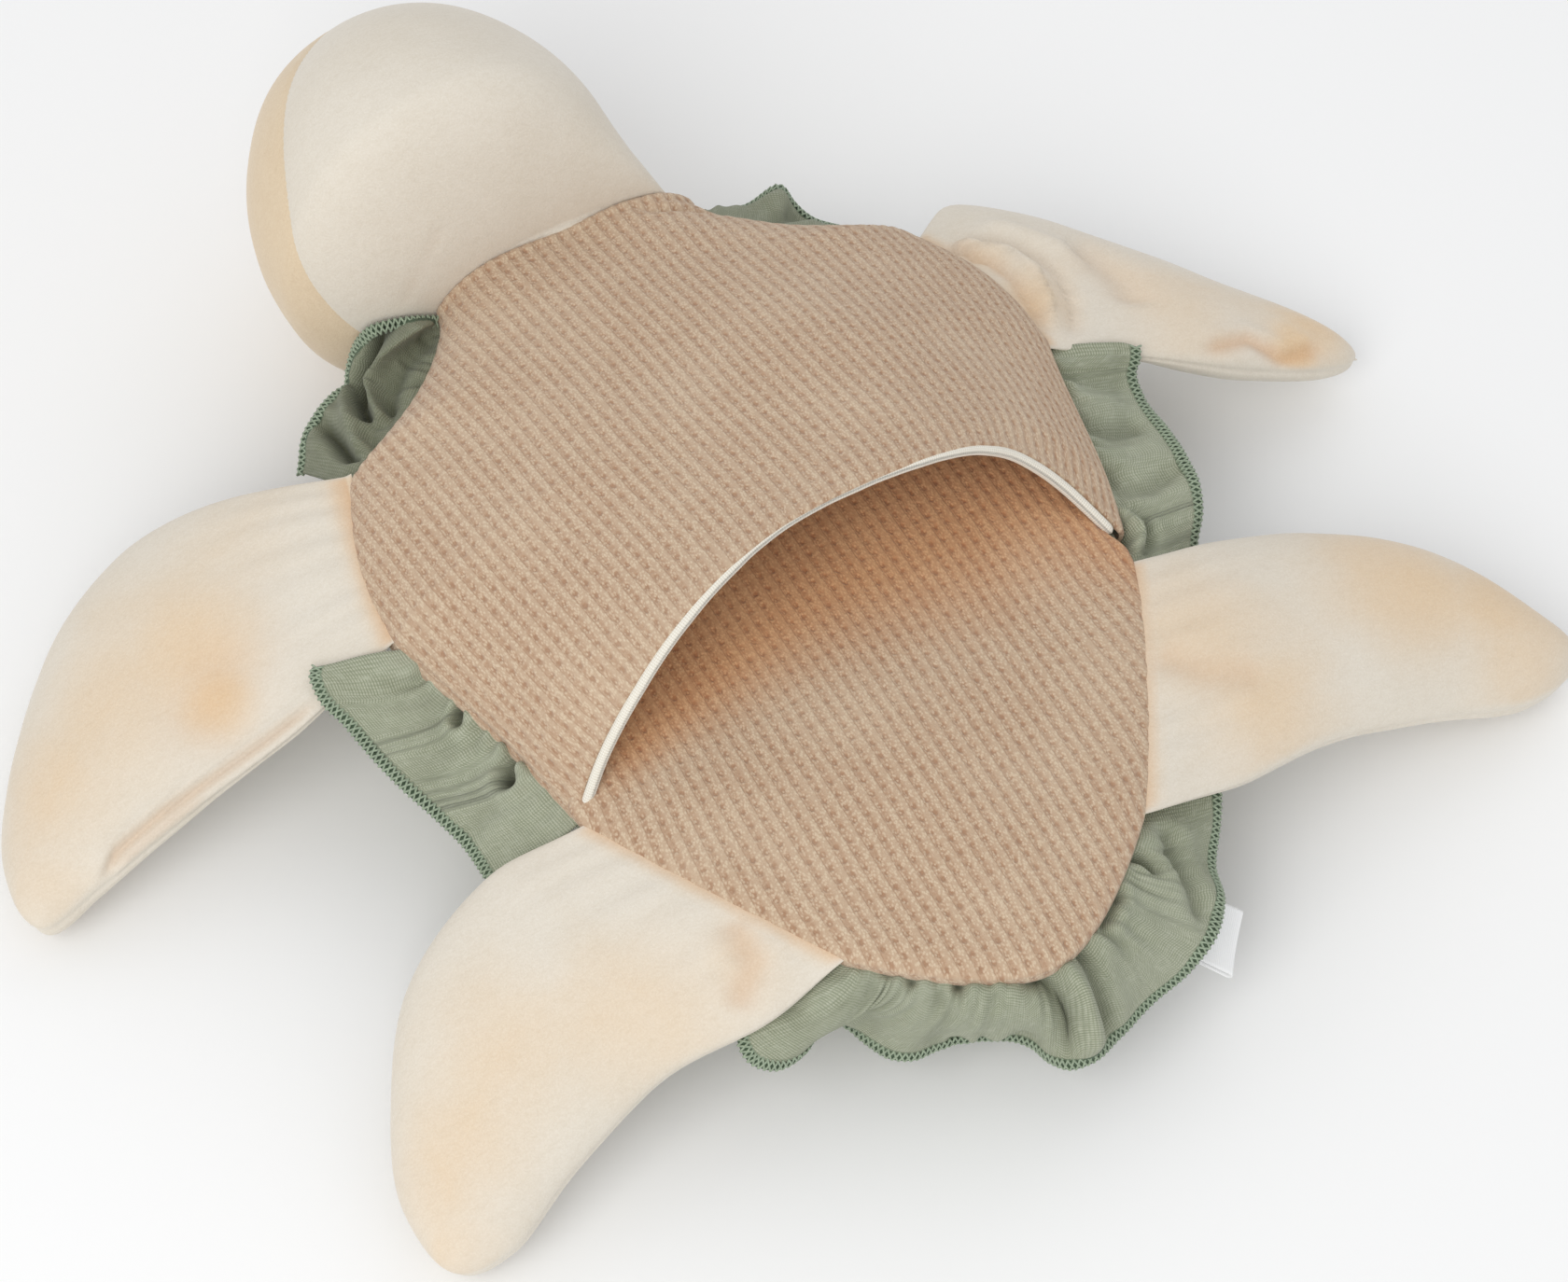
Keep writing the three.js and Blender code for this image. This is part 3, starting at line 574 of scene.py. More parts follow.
def jerseyMaterial():
    made = ClothMaterial("lining_jersey", {"Sheen Weight": 0.3, "Sheen Roughness": 0.5,
                                           "Specular IOR Level": 0.12})
    u, v, _ = made.parts(made.place(source="UV"))
    fibre = made.noise(made.place(), 900, 3)
    wale = u.wave(jersey["wale"], 0)
    stitch = wale * 0.6 + v.wave(jersey["course"], wale * 0.9) * 0.5
    made.bump(stitch * 0.6 + fibre * 0.5, 0.16, 0.8)
    return made.surface(made.layered(srgb(*jersey["low"]), (stitch.ramp(-0.9, 0.9), jersey["high"])), 0.9)


def satinMaterial():
    made = ClothMaterial("satin_ribbon", {"Sheen Weight": 0.2, "Specular IOR Level": 0.45,
                                          "Anisotropic": 0.4})
    _, v, _ = made.parts(made.place(source="UV"))
    rib = v.wave(satin["rib"], 0)
    fibre = made.noise(made.place((1, 6, 1), source="UV"), 1.6, 2)
    made.bump(rib * 0.5 + fibre * 0.3, 0.06, 0.7)
    return made.surface(made.layered(srgb(*satin["low"]), (rib.ramp(-1, 1), satin["high"])),
                        0.42 + 0.14 * fibre)


finishes = dict(
    ivory=velourMaterial("ivory_velour", **velours["ivory"]),
    beige=velourMaterial("beige_velour", **velours["beige"]),
    knit=knitMaterial(), poplin=poplinMaterial(), jersey=jerseyMaterial(), satin=satinMaterial(),
    overlock=threadMaterial("overlock_thread", (160, 175, 150)),
    eye=threadMaterial("eye_thread", (62, 46, 40)),
)
print("materials made")


# outline of the body
def bend(a, b, c, count=80):
    # a curve from a to c, drawn towards b
    a, b, c = (np.array(p, float) for p in (a, b, c))
    t = np.linspace(0, 1, count)[:, None]
    return (1 - t) ** 2 * a + 2 * t * (1 - t) * b + t * t * c


def straight(a, b):
    return np.array([a, b], float)


seamParts = dict(
    neck=straight((0, seam["neckY"]), (seam["neckHalf"], seam["neckY"])),
    shoulder=bend((seam["neckHalf"], seam["neckY"]), seam["shoulder"], seam["frontHead"]),
    frontRoot=straight(seam["frontHead"], seam["frontTail"]),
    waist=bend(seam["frontTail"], seam["waist"], seam["rearHead"]),
    rearRoot=straight(seam["rearHead"], seam["rearTail"]),
    tail=bend(seam["rearTail"], seam["tailBend"], (0, seam["tailY"])),
)
sideLine = np.vstack([seamParts["shoulder"],
                      *(seamParts[k][1:] for k in ("frontRoot", "waist", "rearRoot", "tail"))])


def insetLine(line, inset):
    # a side's outline moved inwards, closed to the middle at the tail
    along = unit(np.gradient(line, axis=0))
    moved = line + np.stack([along[:, 1], -along[:, 0]], -1) * inset
    moved[-1, 0] = 0
    moved[:, 0] = np.maximum(moved[:, 0], 0)
    return moved


outline, _ = resample(sideLine, seam["steps"])


def halfWidthAt(y, inset=1.2):
    line = insetLine(outline, inset)
    return np.interp(-np.asarray(y, float), -line[:, 1], line[:, 0])


ringXY = np.vstack([[0, seam["neckY"]], insetLine(outline, 0.5)])
ringAngle = np.unwrap(np.arctan2(ringXY[:, 0], ringXY[:, 1]))  # from the head's side round to the tail
ringReach = np.linalg.norm(ringXY, axis=1)


# how far the stuffed edge stands out over each flipper's root, along x: turtle's right and left
bulge = dict(front=(4.4, 6.2), rear=(2.8, 4.2))


def rootBulge(y, share):
    # share is 0 at the turtle's right edge and 1 at its left
    total = 0.0
    for which, (right, left) in bulge.items():
        head, tail = seam[which + "Head"][1], seam[which + "Tail"][1]
        past = clampUnit((head - np.asarray(y, float)) / (head - tail))
        total = total + np.sin(np.pi * past) * lerp(right, left, share)
    return total


def bodyShare(x, y):
    # 0 in the middle of the body and 1 at its seam
    angle = np.abs(np.arctan2(x, y))
    return np.hypot(x, y) / np.interp(angle, ringAngle, ringReach)


# shell under the body
shell = dict(rimZ=56, flatCut=0.5, power=2.5, rows=64, around=unlessQuick(521), inset=2.6, innerRows=40,
             plump=0.4, softness=0.35, dartDepth=1.6, dartWidth=5,
             darts=((58, 20), (-58, 20), (52, -58), (-52, -58)))


def buildShell():
    half = insetLine(outline, shell["inset"])
    front = np.linspace(0, 1, 40)[:, None] * np.array([[half[0, 0], 0]]) + np.array([[0, half[0, 1]]])
    side = np.vstack([front[:-1], half[:-1]])
    ring = np.vstack([side, [[0, half[-1, 1]]], side[1:][::-1] * [-1, 1]])
    ring = resample(np.vstack([ring, ring[:1]]), shell["around"])[0][:-1]
    depth = shell["rimZ"] + shell["flatCut"]
    flat = math.asin((shell["rimZ"] / depth) ** (shell["power"] / 2))
    angle = np.linspace(0, flat, shell["rows"])[:, None, None]
    share = np.cos(angle) ** (2 / shell["power"])
    z = shell["rimZ"] - depth * np.sin(angle) ** (2 / shell["power"])
    grid = np.concatenate([ring * share, np.broadcast_to(z, (shell["rows"], len(ring), 1))], 2)
    inner = [grid[-1] * [k, k, 1] for k in np.linspace(0.96, 0.02, shell["innerRows"])]
    grid = np.concatenate([grid, inner])
    lift = softNoise(grid, 26, 3) * shell["softness"]
    x, y = grid[..., 0], grid[..., 1]
    near = np.abs(x)  # the seam down the middle of the back
    for cx, cy in shell["darts"]:
        away = np.array([cx, cy]) / math.hypot(cx, cy)
        along = (x - cx * 0.45) * away[0] + (y - cy * 0.45) * away[1]
        near = np.where(along > 0, np.minimum(near, np.abs(x * away[1] - y * away[0])), near)
    seamPull = bell(near, shell["dartWidth"] / 2)
    raised = smooth(grid[..., 2] / 3.0)
    normal = gridNormals(grid, True)
    if normal[10, :, 2].mean() > 0:
        normal = -normal
    grid = grid - normal * ((seamPull * shell["dartDepth"] + shell["plump"] - lift) * raised)[..., None]
    rows, columns = grid.shape[:2]
    points = np.vstack([grid.reshape(-1, 3), grid[-1].mean(0)])
    uv = np.vstack([grid[..., :2].reshape(-1, 2), (0, 0)])
    piece = makeMesh("shell_dome_cover", points, gridFaces(rows, columns, True), uv,
                     {"edge": np.zeros(len(points))})
    addFan(piece, fanFaces((rows - 1) * columns + np.arange(columns), rows * columns))
    cleaned(piece)
    return dress(piece, finishes["poplin"], "body")


shellPiece = buildShell()
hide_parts("back_shell_cover", "shell_stuffing")
print("shell made")


# pocket over the chest
pocket = dict(topZ=57.8, neckRise=13, mouthRise=50, swell=4, mouthY=-22, neckEdgeY=135.3,
              mouth=((-1, -25), (-0.9, -20.8), (-0.7, -15.4), (-0.5, -10.3), (-0.3, -5.7), (-0.1, -1.9),
                     (0.05, -0.8), (0.2, -0.4), (0.35, 0.1), (0.5, 1.2), (0.65, 2.4), (0.8, 0.8),
                     (0.92, -7.2), (1, -19)),
              cornerOut=5.6, inset=0.9, columns=unlessQuick(360), rows=unlessQuick(246),
              softness=1.1, fineSoftness=0.35, pillow=2.6, pillowReach=11, pillowFade=35)

# belly, the lower layer of knit
belly = dict(crown=9, edgeZ=58.2, pillow=3.2, pillowReach=8, softness=0.8, fineTo=34, coarseRows=40,
             columns=unlessQuick(290), inset=-0.6, hidden=3.6,
             skirt=((0.0, -1.2), (-0.1, -2.6), (-0.6, -4.2), (-1.7, -5.6), (-3.2, -6.4)))


def mouthAt(across):
    # where the pocket's mouth lies along the body, from its right corner at -1 to its left at 1
    at = np.linspace(-1, 1, 401)
    return np.interp(across, at, readTable(pocket["mouth"], at))


def edgeDistance(x, y, line):
    # distance from points to both sides of the outline
    return strokeDistance(np.stack([np.abs(x), y], -1), resample(line, 200)[0])[0]


def bellyHeight(x, y, share, distance):
    pillow = rounded(distance, belly["pillowReach"]) * belly["pillow"] * smooth((70 - y) / 60)
    softness = softNoise(np.stack([x, y], -1), 34, 5) * belly["softness"] * smooth(distance / 20)
    return belly["edgeZ"] + belly["crown"] * (1 - share ** 2) + pillow + softness


def buildBelly():
    # the side lies back under the pocket's edge, and comes out past its mouth
    inset = lerp(belly["inset"], belly["hidden"], smooth((outline[:, 1] + 26) / 9))[:, None]
    line = insetLine(outline, inset)
    fine = line[line[:, 1] < belly["fineTo"]]
    fine, _ = resample(fine, int(np.linalg.norm(np.diff(fine, axis=0), axis=1).sum() / seam["step"]))
    coarse, _ = resample(line[line[:, 1] > belly["fineTo"]], belly["coarseRows"])
    side = np.vstack([coarse[:-1], fine])
    rows, columns = len(side), belly["columns"]
    across = np.linspace(-1, 1, columns)[None]
    x = side[:, :1] * across
    y = np.broadcast_to(side[:, 1:], x.shape).copy()
    distance = edgeDistance(x, y, line)
    distance[:, 0] = distance[:, -1] = 0
    z = bellyHeight(x, y, np.minimum(bodyShare(x, y), 1), distance)
    out = np.sign(across) * np.abs(across) ** 3 * rootBulge(y, (across + 1) / 2) * smooth((-y - 12) / 14)
    grid = np.stack([x + out, y, z], -1)
    rimIds = np.r_[np.arange(rows) * columns + columns - 1, (np.arange(rows) * columns)[::-1][1:]]
    rim = grid.reshape(-1, 3)[rimIds]  # down the left side, round the tail, up the right
    cutRim = np.stack([x, y], -1).reshape(-1, 2)[rimIds]
    tangent = unit(np.gradient(rim[:, :2], axis=0))
    outward = np.stack([-tangent[:, 1], tangent[:, 0]], -1)
    skirt = np.array([np.column_stack([rim[:, :2] + outward * push, rim[:, 2] + fall])
                      for push, fall in belly["skirt"]])
    cut = np.array([cutRim + outward * run for run in runOf(belly["skirt"])])
    n = len(rimIds)
    ids = np.vstack([rimIds, rows * columns + np.arange(len(skirt) * n).reshape(len(skirt), n)])
    a, b, c, d = ids[:-1, :-1], ids[:-1, 1:], ids[1:, 1:], ids[1:, :-1]
    faces = np.vstack([gridFaces(rows, columns), np.stack([d, c, b, a], -1).reshape(-1, 4)])
    points = np.vstack([grid.reshape(-1, 3), skirt.reshape(-1, 3)])
    uv = np.vstack([np.stack([x, y], -1).reshape(-1, 2), cut.reshape(-1, 2)])
    raised = np.r_[smooth(distance.ravel() / 2.2), np.zeros(len(skirt) * n)]
    return knitPiece("belly_lower_panel", points, faces, uv, raised, {"deep": pocketShade(points)})


def pocketShade(points):
    # painted shade on the belly under the pocket: 1 under it, less beyond its mouth
    x, y = points[:, 0], points[:, 1]
    across = np.clip(x / 84, -1, 1)
    deep = 1 - smooth((mouthAt(across) - y - 2) / lerp(12, 46, clampUnit((x + 70) / 110)))
    return deep * smooth((x + 82) / 18)


def knitPiece(name, points, faces, uv, raised, marks=None):
    # gives a cloth its waffle relief along its own normals
    points, uv = points.reshape(-1, 3), uv.reshape(-1, 2)
    piece = makeMesh(name, points, faces, uv, marks)
    normals = np.empty(len(points) * 3, np.float32)
    piece.data.vertices.foreach_get("normal", normals)
    normals = normals.reshape(-1, 3)
    if normals[:, 2].mean() < 0:
        piece.data.flip_normals()
        normals = -normals
    relief = (knitRelief(uv[:, 0], uv[:, 1]) - 0.8) * knit["depth"] * raised.ravel()
    piece.data.vertices.foreach_set("co", inMetres(points + normals * relief[:, None]))
    piece.data.update()
    return piece


def runOf(profile):
    # how far along a folded profile each of its points lies, from where the cloth starts to turn
    return np.cumsum(np.hypot(*np.diff(np.vstack([[0, 0], profile]), axis=0).T))


bellyPiece = buildBelly()
dress(bellyPiece, finishes["knit"], "body")
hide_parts("belly_panel")
print("belly made")


def archPoint(across, along, inset):
    # the chest's arch: across from -1 to 1, along from 0 at the neck to 1 at the mouth
    sideY = lerp(pocket["neckEdgeY"], pocket["mouthY"], along)
    rise = lerp(pocket["neckRise"], pocket["mouthRise"], along) + pocket["swell"] * np.sin(np.pi * along)
    stuffed = rootBulge(sideY, (across + 1) / 2) * np.abs(across) ** 2
    halfWidth = halfWidthAt(sideY, pocket["inset"]) + stuffed - inset
    corner = pocket["cornerOut"] * np.maximum(across, 0) ** 4 * smooth((along - 0.4) / 0.5)
    return np.stack([
        across * halfWidth + corner * (1 - 0.4 * along ** 16),
        sideY + along ** 2 * (mouthAt(across) - pocket["mouthY"]),
        pocket["topZ"] + (rise - inset) * (1 - np.abs(across) ** 3),
    ], -1)


def archGrid(columns, rows, inset, reach=1.0):
    # columns at equal lengths over the arch, with their flat coordinates
    dense = np.linspace(-1, 1, 801)[None] * reach
    along = np.linspace(0, 1, rows)[:, None]
    length = runDown(archPoint(*np.broadcast_arrays(dense, along), inset).swapaxes(0, 1)).T
    across = np.stack([np.interp(np.linspace(0, row[-1], columns), row, dense[0]) for row in length])
    grid = archPoint(across, np.broadcast_to(along, across.shape), inset)
    flatU = (np.linspace(0, 1, columns)[None] - 0.5) * length[:, -1:]
    flatV = np.broadcast_to(runAlong(grid[:, columns // 2])[:, None], flatU.shape)
    return grid, across, np.broadcast_to(along, across.shape), flatU, flatV


# how the pocket's sides curl under, its neck edge tucks in and its mouth folds: out and down, or on and in
pocketCurl = ((0.5, -1.0), (0.8, -2.4), (0.7, -4.0), (-0.1, -5.6), (-1.6, -6.8))
neckTuck = ((1.0, 0.5), (2.4, 0.2), (3.4, -1.0), (3.2, -2.6))
mouthFold = ((0.5, 0.15), (0.85, 0.6), (0.9, 1.1), (0.6, 1.55))


def buildPocket():
    grid, across, along, u, v = archGrid(pocket["columns"], pocket["rows"], 0)
    normal = upwards(gridNormals(grid))
    flat = np.stack([u, v], -1)
    soft = softNoise(flat, 40, 11) * pocket["softness"] + softNoise(flat, 17, 12) * pocket["fineSoftness"]
    soft = soft * smooth((1 - np.abs(across)) / 0.15) * smooth(along / 0.08) * smooth((1 - along) / 0.06)
    toSide = (1 - np.abs(across)) * np.abs(grid[:, -1:, 0])
    pillow = rounded(toSide, pocket["pillowReach"])
    pillow = pillow * (1 - smooth((toSide - pocket["pillowReach"]) / pocket["pillowFade"]))
    soft = soft + (pillow * smooth((1 - along) / 0.1) - neckCrease(grid)) * pocket["pillow"]
    grid = grid + normal * soft[..., None]
    left, right = (np.stack([grid[:, k] + [out * s, 0, fall] for out, fall in pocketCurl], 1)
                   for k, s in ((0, -1), (-1, 1)))
    grid = np.concatenate([left[:, ::-1], grid, right], 1)
    pad, extra = runOf(pocketCurl), len(pocketCurl)
    u = np.concatenate([u[:, :1] - pad[::-1], u, u[:, -1:] + pad], 1)
    v = np.pad(v, ((0, 0), (extra, extra)), mode="edge")
    away = unit(grid[-1] - grid[-3])
    inward = -upwards(gridNormals(grid)[-1])
    folds = [grid[-1] + away * out + inward * fall for out, fall in mouthFold]
    tuck = [grid[0] + np.array([0, out, fall]) for out, fall in neckTuck]
    u = np.pad(u, ((len(tuck), len(folds)), (0, 0)), mode="edge")
    raised = smooth((v[-1:] - v) / 2.2)
    v = np.concatenate([v[:1] - runOf(neckTuck)[::-1, None], v, v[-1:] + runOf(mouthFold)[:, None]])
    fade = np.array([0, 0.2, 0.5, 0.8, 1])
    raised[:, :extra] *= fade
    raised[:, -extra:] *= fade[::-1]
    raised = np.concatenate([raised[:len(tuck)] * 0.5, raised, np.zeros((len(folds), raised.shape[1]))])
    grid = np.concatenate([np.array(tuck[::-1]), grid, np.array(folds)])
    return knitPiece("pocket_upper_panel", grid, gridFaces(*grid.shape[:2]), np.stack([u, v], -1), raised)


def neckCrease(points):
    # a short fold where the pocket's edge meets the neck at the turtle's left
    distance, where = strokeDistance(points[..., :2], ((20, 134), (33.6, 129.4), (44, 124.5)))
    return 0.75 * bell(distance, 2.0) * endFade(where, 0.3, 0.2)


pocketPiece = buildPocket()
dress(pocketPiece, finishes["knit"], "body")
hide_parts("pocket_panel")


lining = dict(inset=2.9, thickness=0.8, columns=120, rows=80, reach=0.95)


def buildLining():
    grid, _, _, u, v = archGrid(lining["columns"], lining["rows"], lining["inset"], lining["reach"])
    piece = gridMesh("pocket_lining_sheet", grid, np.stack([u, v], -1))
    faceUp(piece, 2)
    return thicken(piece, lining["thickness"])


liningPiece = buildLining()
dress(liningPiece, finishes["jersey"], "body")
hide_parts("pocket_lining")


# rolled edge of the lining: how far it shows below the knit along the mouth, from right corner to left
piping = dict(radius=1.55, sides=14, steps=280, reach=0.995, inset=1.6, sunk=0.4, inwards=0.5, endSteps=3,
              show=((-1, 2.4), (-0.8, 2.3), (-0.55, 1.8), (-0.35, 1.1), (-0.1, 0.45), (0.15, 0.35),
                    (0.4, 0.75), (0.62, 1.4), (0.8, 2.0), (1, 2.4)))


def pipingLine(across, back=0.0):
    return archPoint(across, np.full_like(across, 1 - back), piping["inset"])


def buildPiping():
    dense = np.linspace(-piping["reach"], piping["reach"], 1200)
    run = runAlong(pipingLine(dense))
    at = np.linspace(0, run[-1], piping["steps"])
    across = np.interp(at, run, dense)
    nudge = 0.004
    edge = pipingLine(across)
    tangent = unit(pipingLine(across + nudge) - edge)
    away = edge - pipingLine(across, nudge)
    away = unit(away - (away * tangent).sum(-1, keepdims=True) * tangent)
    inward = -upwards(unit(np.cross(tangent, away)))
    show = readTable(piping["show"], across) + softNoise(across[:, None] * 60, 5, 21) * 0.12
    centre = edge + away * (show - piping["radius"] * piping["sunk"])[:, None] + inward * piping["inwards"]
    angle = np.linspace(0, 2 * np.pi, piping["sides"], endpoint=False)
    girth = piping["radius"] * (1 + 0.05 * softNoise(across[:, None] * 60, 9, 22))
    step = np.arange(len(across))
    girth = girth * np.maximum(rounded(np.minimum(step, step[::-1]), piping["endSteps"]), 0.05)
    around = np.cos(angle)[:, None] * away[:, None] + np.sin(angle)[:, None] * inward[:, None]
    rings = centre[:, None] + girth[:, None, None] * around
    uv = np.stack(np.broadcast_arrays(at[:, None], (angle * piping["radius"])[None]), -1)
    return capEnds(gridMesh("pocket_piping_roll", rings, uv, wrap=True))


pipingPiece = buildPiping()
dress(pipingPiece, finishes["jersey"], "body")
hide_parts("pocket_mouth_piping")
print("pocket made")


# head
head = dict(neckHalf=39, neckRadius=17, hingeZ=54, half=(53.5, 65, 62), length=25.5, shiftX=-24, lift=0.5,
            noseShift=-2.5, neckLength=1.2, swellAcross=0.42, swellUpright=0.5, segments=220, seamDepth=0.55,
            seamWidth=1.3, puff=0.5, puffWidth=9, plump=0.7, chin=(0.419, -0.362, 0.833),
            seamOut=(-110, -70, -40, -15, 2, 25, 43, 110), seamUp=(-70, -44, -24, -8.2, 1.5, 7, 8.5, 8.5),
            inset=0.35)


def neckSwell(along, power):
    share = clampUnit((along - head["neckLength"]) / (head["length"] - head["neckLength"]))
    return np.sin(share * np.pi / 2) ** power


def headRings():
    width, length, height = (h - head["inset"] for h in head["half"])
    half, radius = head["neckHalf"] - head["inset"], head["neckRadius"] - head["inset"]
    centreZ = head["half"][2] + head["lift"]
    sections = []
    for a in np.radians(np.linspace(-70, -6, 12)):
        sections.append((radius * math.sin(a), half * math.cos(a), radius * math.cos(a)))
    swelling = head["neckLength"] + (head["length"] - head["neckLength"]) * np.linspace(0, 1, 46) ** 1.7
    for along in np.r_[np.linspace(-1, head["neckLength"], 5)[:-1], swelling[:-1]]:
        sections.append((along, lerp(half, width, neckSwell(along, head["swellAcross"])),
                         lerp(radius, height, neckSwell(along, head["swellUpright"]))))
    for a in np.radians(np.linspace(0, 89.6, 74)):
        sections.append((head["length"] + length * math.sin(a), width * math.cos(a), height * math.cos(a)))
    angle = np.linspace(0, 2 * np.pi, head["segments"], endpoint=False)
    rings = []
    for along, halfWidth, halfHeight in sections:
        beyond = max(0, along - head["length"]) / head["half"][1]
        x = head["shiftX"] * neckSwell(along, head["swellAcross"]) + head["noseShift"] * beyond
        z = lerp(head["hingeZ"], centreZ, neckSwell(along, head["swellUpright"]))
        rings.append(np.stack([x + halfWidth * np.cos(angle), np.full_like(angle, seam["neckY"] + along),
                               z + halfHeight * np.sin(angle)], -1))
    return np.array(rings)


def clipped(points, triangles, field, carried):
    # the part of a mesh where field is above 0, cut cleanly along 0
    inside = field[triangles] > 0
    count = inside.sum(1)
    kept = [triangles[count == 3]]
    values = [np.column_stack([points, field, carried])]
    start = len(points)
    for wanted in (1, 2):
        part = triangles[count == wanted]
        flags = inside[count == wanted]
        lone = np.argmax(flags if wanted == 1 else ~flags, axis=1)
        turned = np.stack([part[np.arange(len(part)), (lone + k) % 3] for k in range(3)], -1)
        allValues = values[0]
        made = []
        for k in (1, 2):
            fa, fb = field[turned[:, 0]], field[turned[:, k]]
            t = (fa / (fa - fb))[:, None]
            made.append(lerp(allValues[turned[:, 0]], allValues[turned[:, k]], t))
        first = start + np.arange(len(part))
        second = first + len(part)
        values += made
        start += 2 * len(part)
        if wanted == 1:
            kept.append(np.stack([turned[:, 0], first, second], -1))
        else:
            kept.append(np.stack([first, turned[:, 1], turned[:, 2]], -1))
            kept.append(np.stack([first, turned[:, 2], second], -1))
    values = np.vstack(values)
    faces = np.vstack(kept)
    used, back = np.unique(faces, return_inverse=True)
    values = values[used]
    return values[:, :3], back.reshape(-1, 3), values[:, 3], values[:, 4:]


def headAxes():
    chin = np.array(head["chin"])
    chin = chin / np.linalg.norm(chin)
    nose = np.array([head["noseShift"], head["half"][1], 0])
    nose = nose - chin * (nose @ chin)
    nose = nose / np.linalg.norm(nose)
    centre = np.array([head["shiftX"], seam["neckY"] + head["length"], head["half"][2] + head["lift"]])
    return centre, nose, chin


def buildHead():
    rings = headRings()
    centre, nose, chin = headAxes()
    normal = gridNormals(rings, True)
    if ((rings - centre) * normal).sum(-1).mean() < 0:
        normal = -normal
    fromCentre = rings - centre
    level = splinePoints(head["seamOut"], head["seamUp"],
                         (fromCentre @ nose).ravel()).reshape(rings.shape[:2])
    height = fromCentre @ chin - level
    dent = head["seamDepth"] * bell(height, head["seamWidth"])
    puff = head["puff"] * (1 - bell(height, head["puffWidth"]))
    uneven = softNoise(rings, 30, 31) * 0.7 + softNoise(rings, 11, 32) * 0.15
    beyondNeck = smooth((rings[..., 1] - seam["neckY"]) / 12)
    fold = neckFold(rings)
    rise = (uneven + puff - head["plump"]) * beyondNeck - dent * beyondNeck + fold
    moved = rings + normal * rise[..., None]
    rows, columns = rings.shape[:2]
    points = np.vstack([moved.reshape(-1, 3), moved[-1].mean(0)])
    squares = gridFaces(rows, columns, True)
    fan = fanFaces((rows - 1) * columns + np.arange(columns), rows * columns)
    triangles = np.vstack([squares[:, [0, 1, 2]], squares[:, [0, 2, 3]], fan])
    field = np.r_[height.ravel(), height[-1].mean()]
    blush = np.r_[headBlush(rings, height).ravel(), 0.05]
    # painted shade: the hollow colour laid into the neck folds
    crease = np.r_[(clampUnit(-fold / 2) * 0.35).ravel(), 0]
    pieces = []
    for name, side, finish, node in (("head_chin_velour", 1, "ivory", "head_chin_panel"),
                                     ("head_crown_velour", -1, "beige", "head_crown_panel")):
        where, faces, _, carried = clipped(points, triangles, field * side + 1e-4,
                                           np.column_stack([blush, crease]))
        piece = makeMesh(name, where, faces, None, {"blush": carried[:, 0], "crease": carried[:, 1]})
        cleaned(piece, 0.02, False)
        outward = [np.array(p.normal) @ (np.array(p.center) / mm - centre) for p in piece.data.polygons]
        if np.mean(outward) < 0:
            piece.data.flip_normals()
        dress(piece, finishes[finish])
        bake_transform(piece)
        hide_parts(node, "head_stuffing")
        pieces.append(piece)
    return pieces


# small rolls of velour beside the knit at the turtle's right: a line, its width and its depth
neckFolds = ((((-35, 143.6, 90), (-40.5, 143.4, 80), (-46.5, 142.6, 71), (-50, 142.5, 63)), 1.7, 1.2),
             (((-30, 147, 96), (-41, 146.8, 86), (-49, 146, 76)), 2.6, -0.9))


def neckFold(points):
    rise = np.zeros(points.shape[:-1])
    for line, width, depth in neckFolds:
        distance, where = strokeDistance(points, line)
        rise -= depth * bell(distance, width) * endFade(where, 0.25, 0.1)
    return rise


# peach in the broad dip along the chin and crown seam is painted shade; the rest is random tone
def headBlush(points, height):
    return 0.06 * bell(height, 9) + 0.05 * softNoise(points, 34, 33) - 0.03


headPieces = buildHead()
print("head made")


# eyes on the crown: padded ovals of satin stitch
eye = dict(radius=6.5, height=1.3, sunk=0.35, roundness=1.3, fromCrown=45, fromSide=50, margin=0.3,
           threadPitch=0.55, threadSteps=13, threadRadius=0.32)


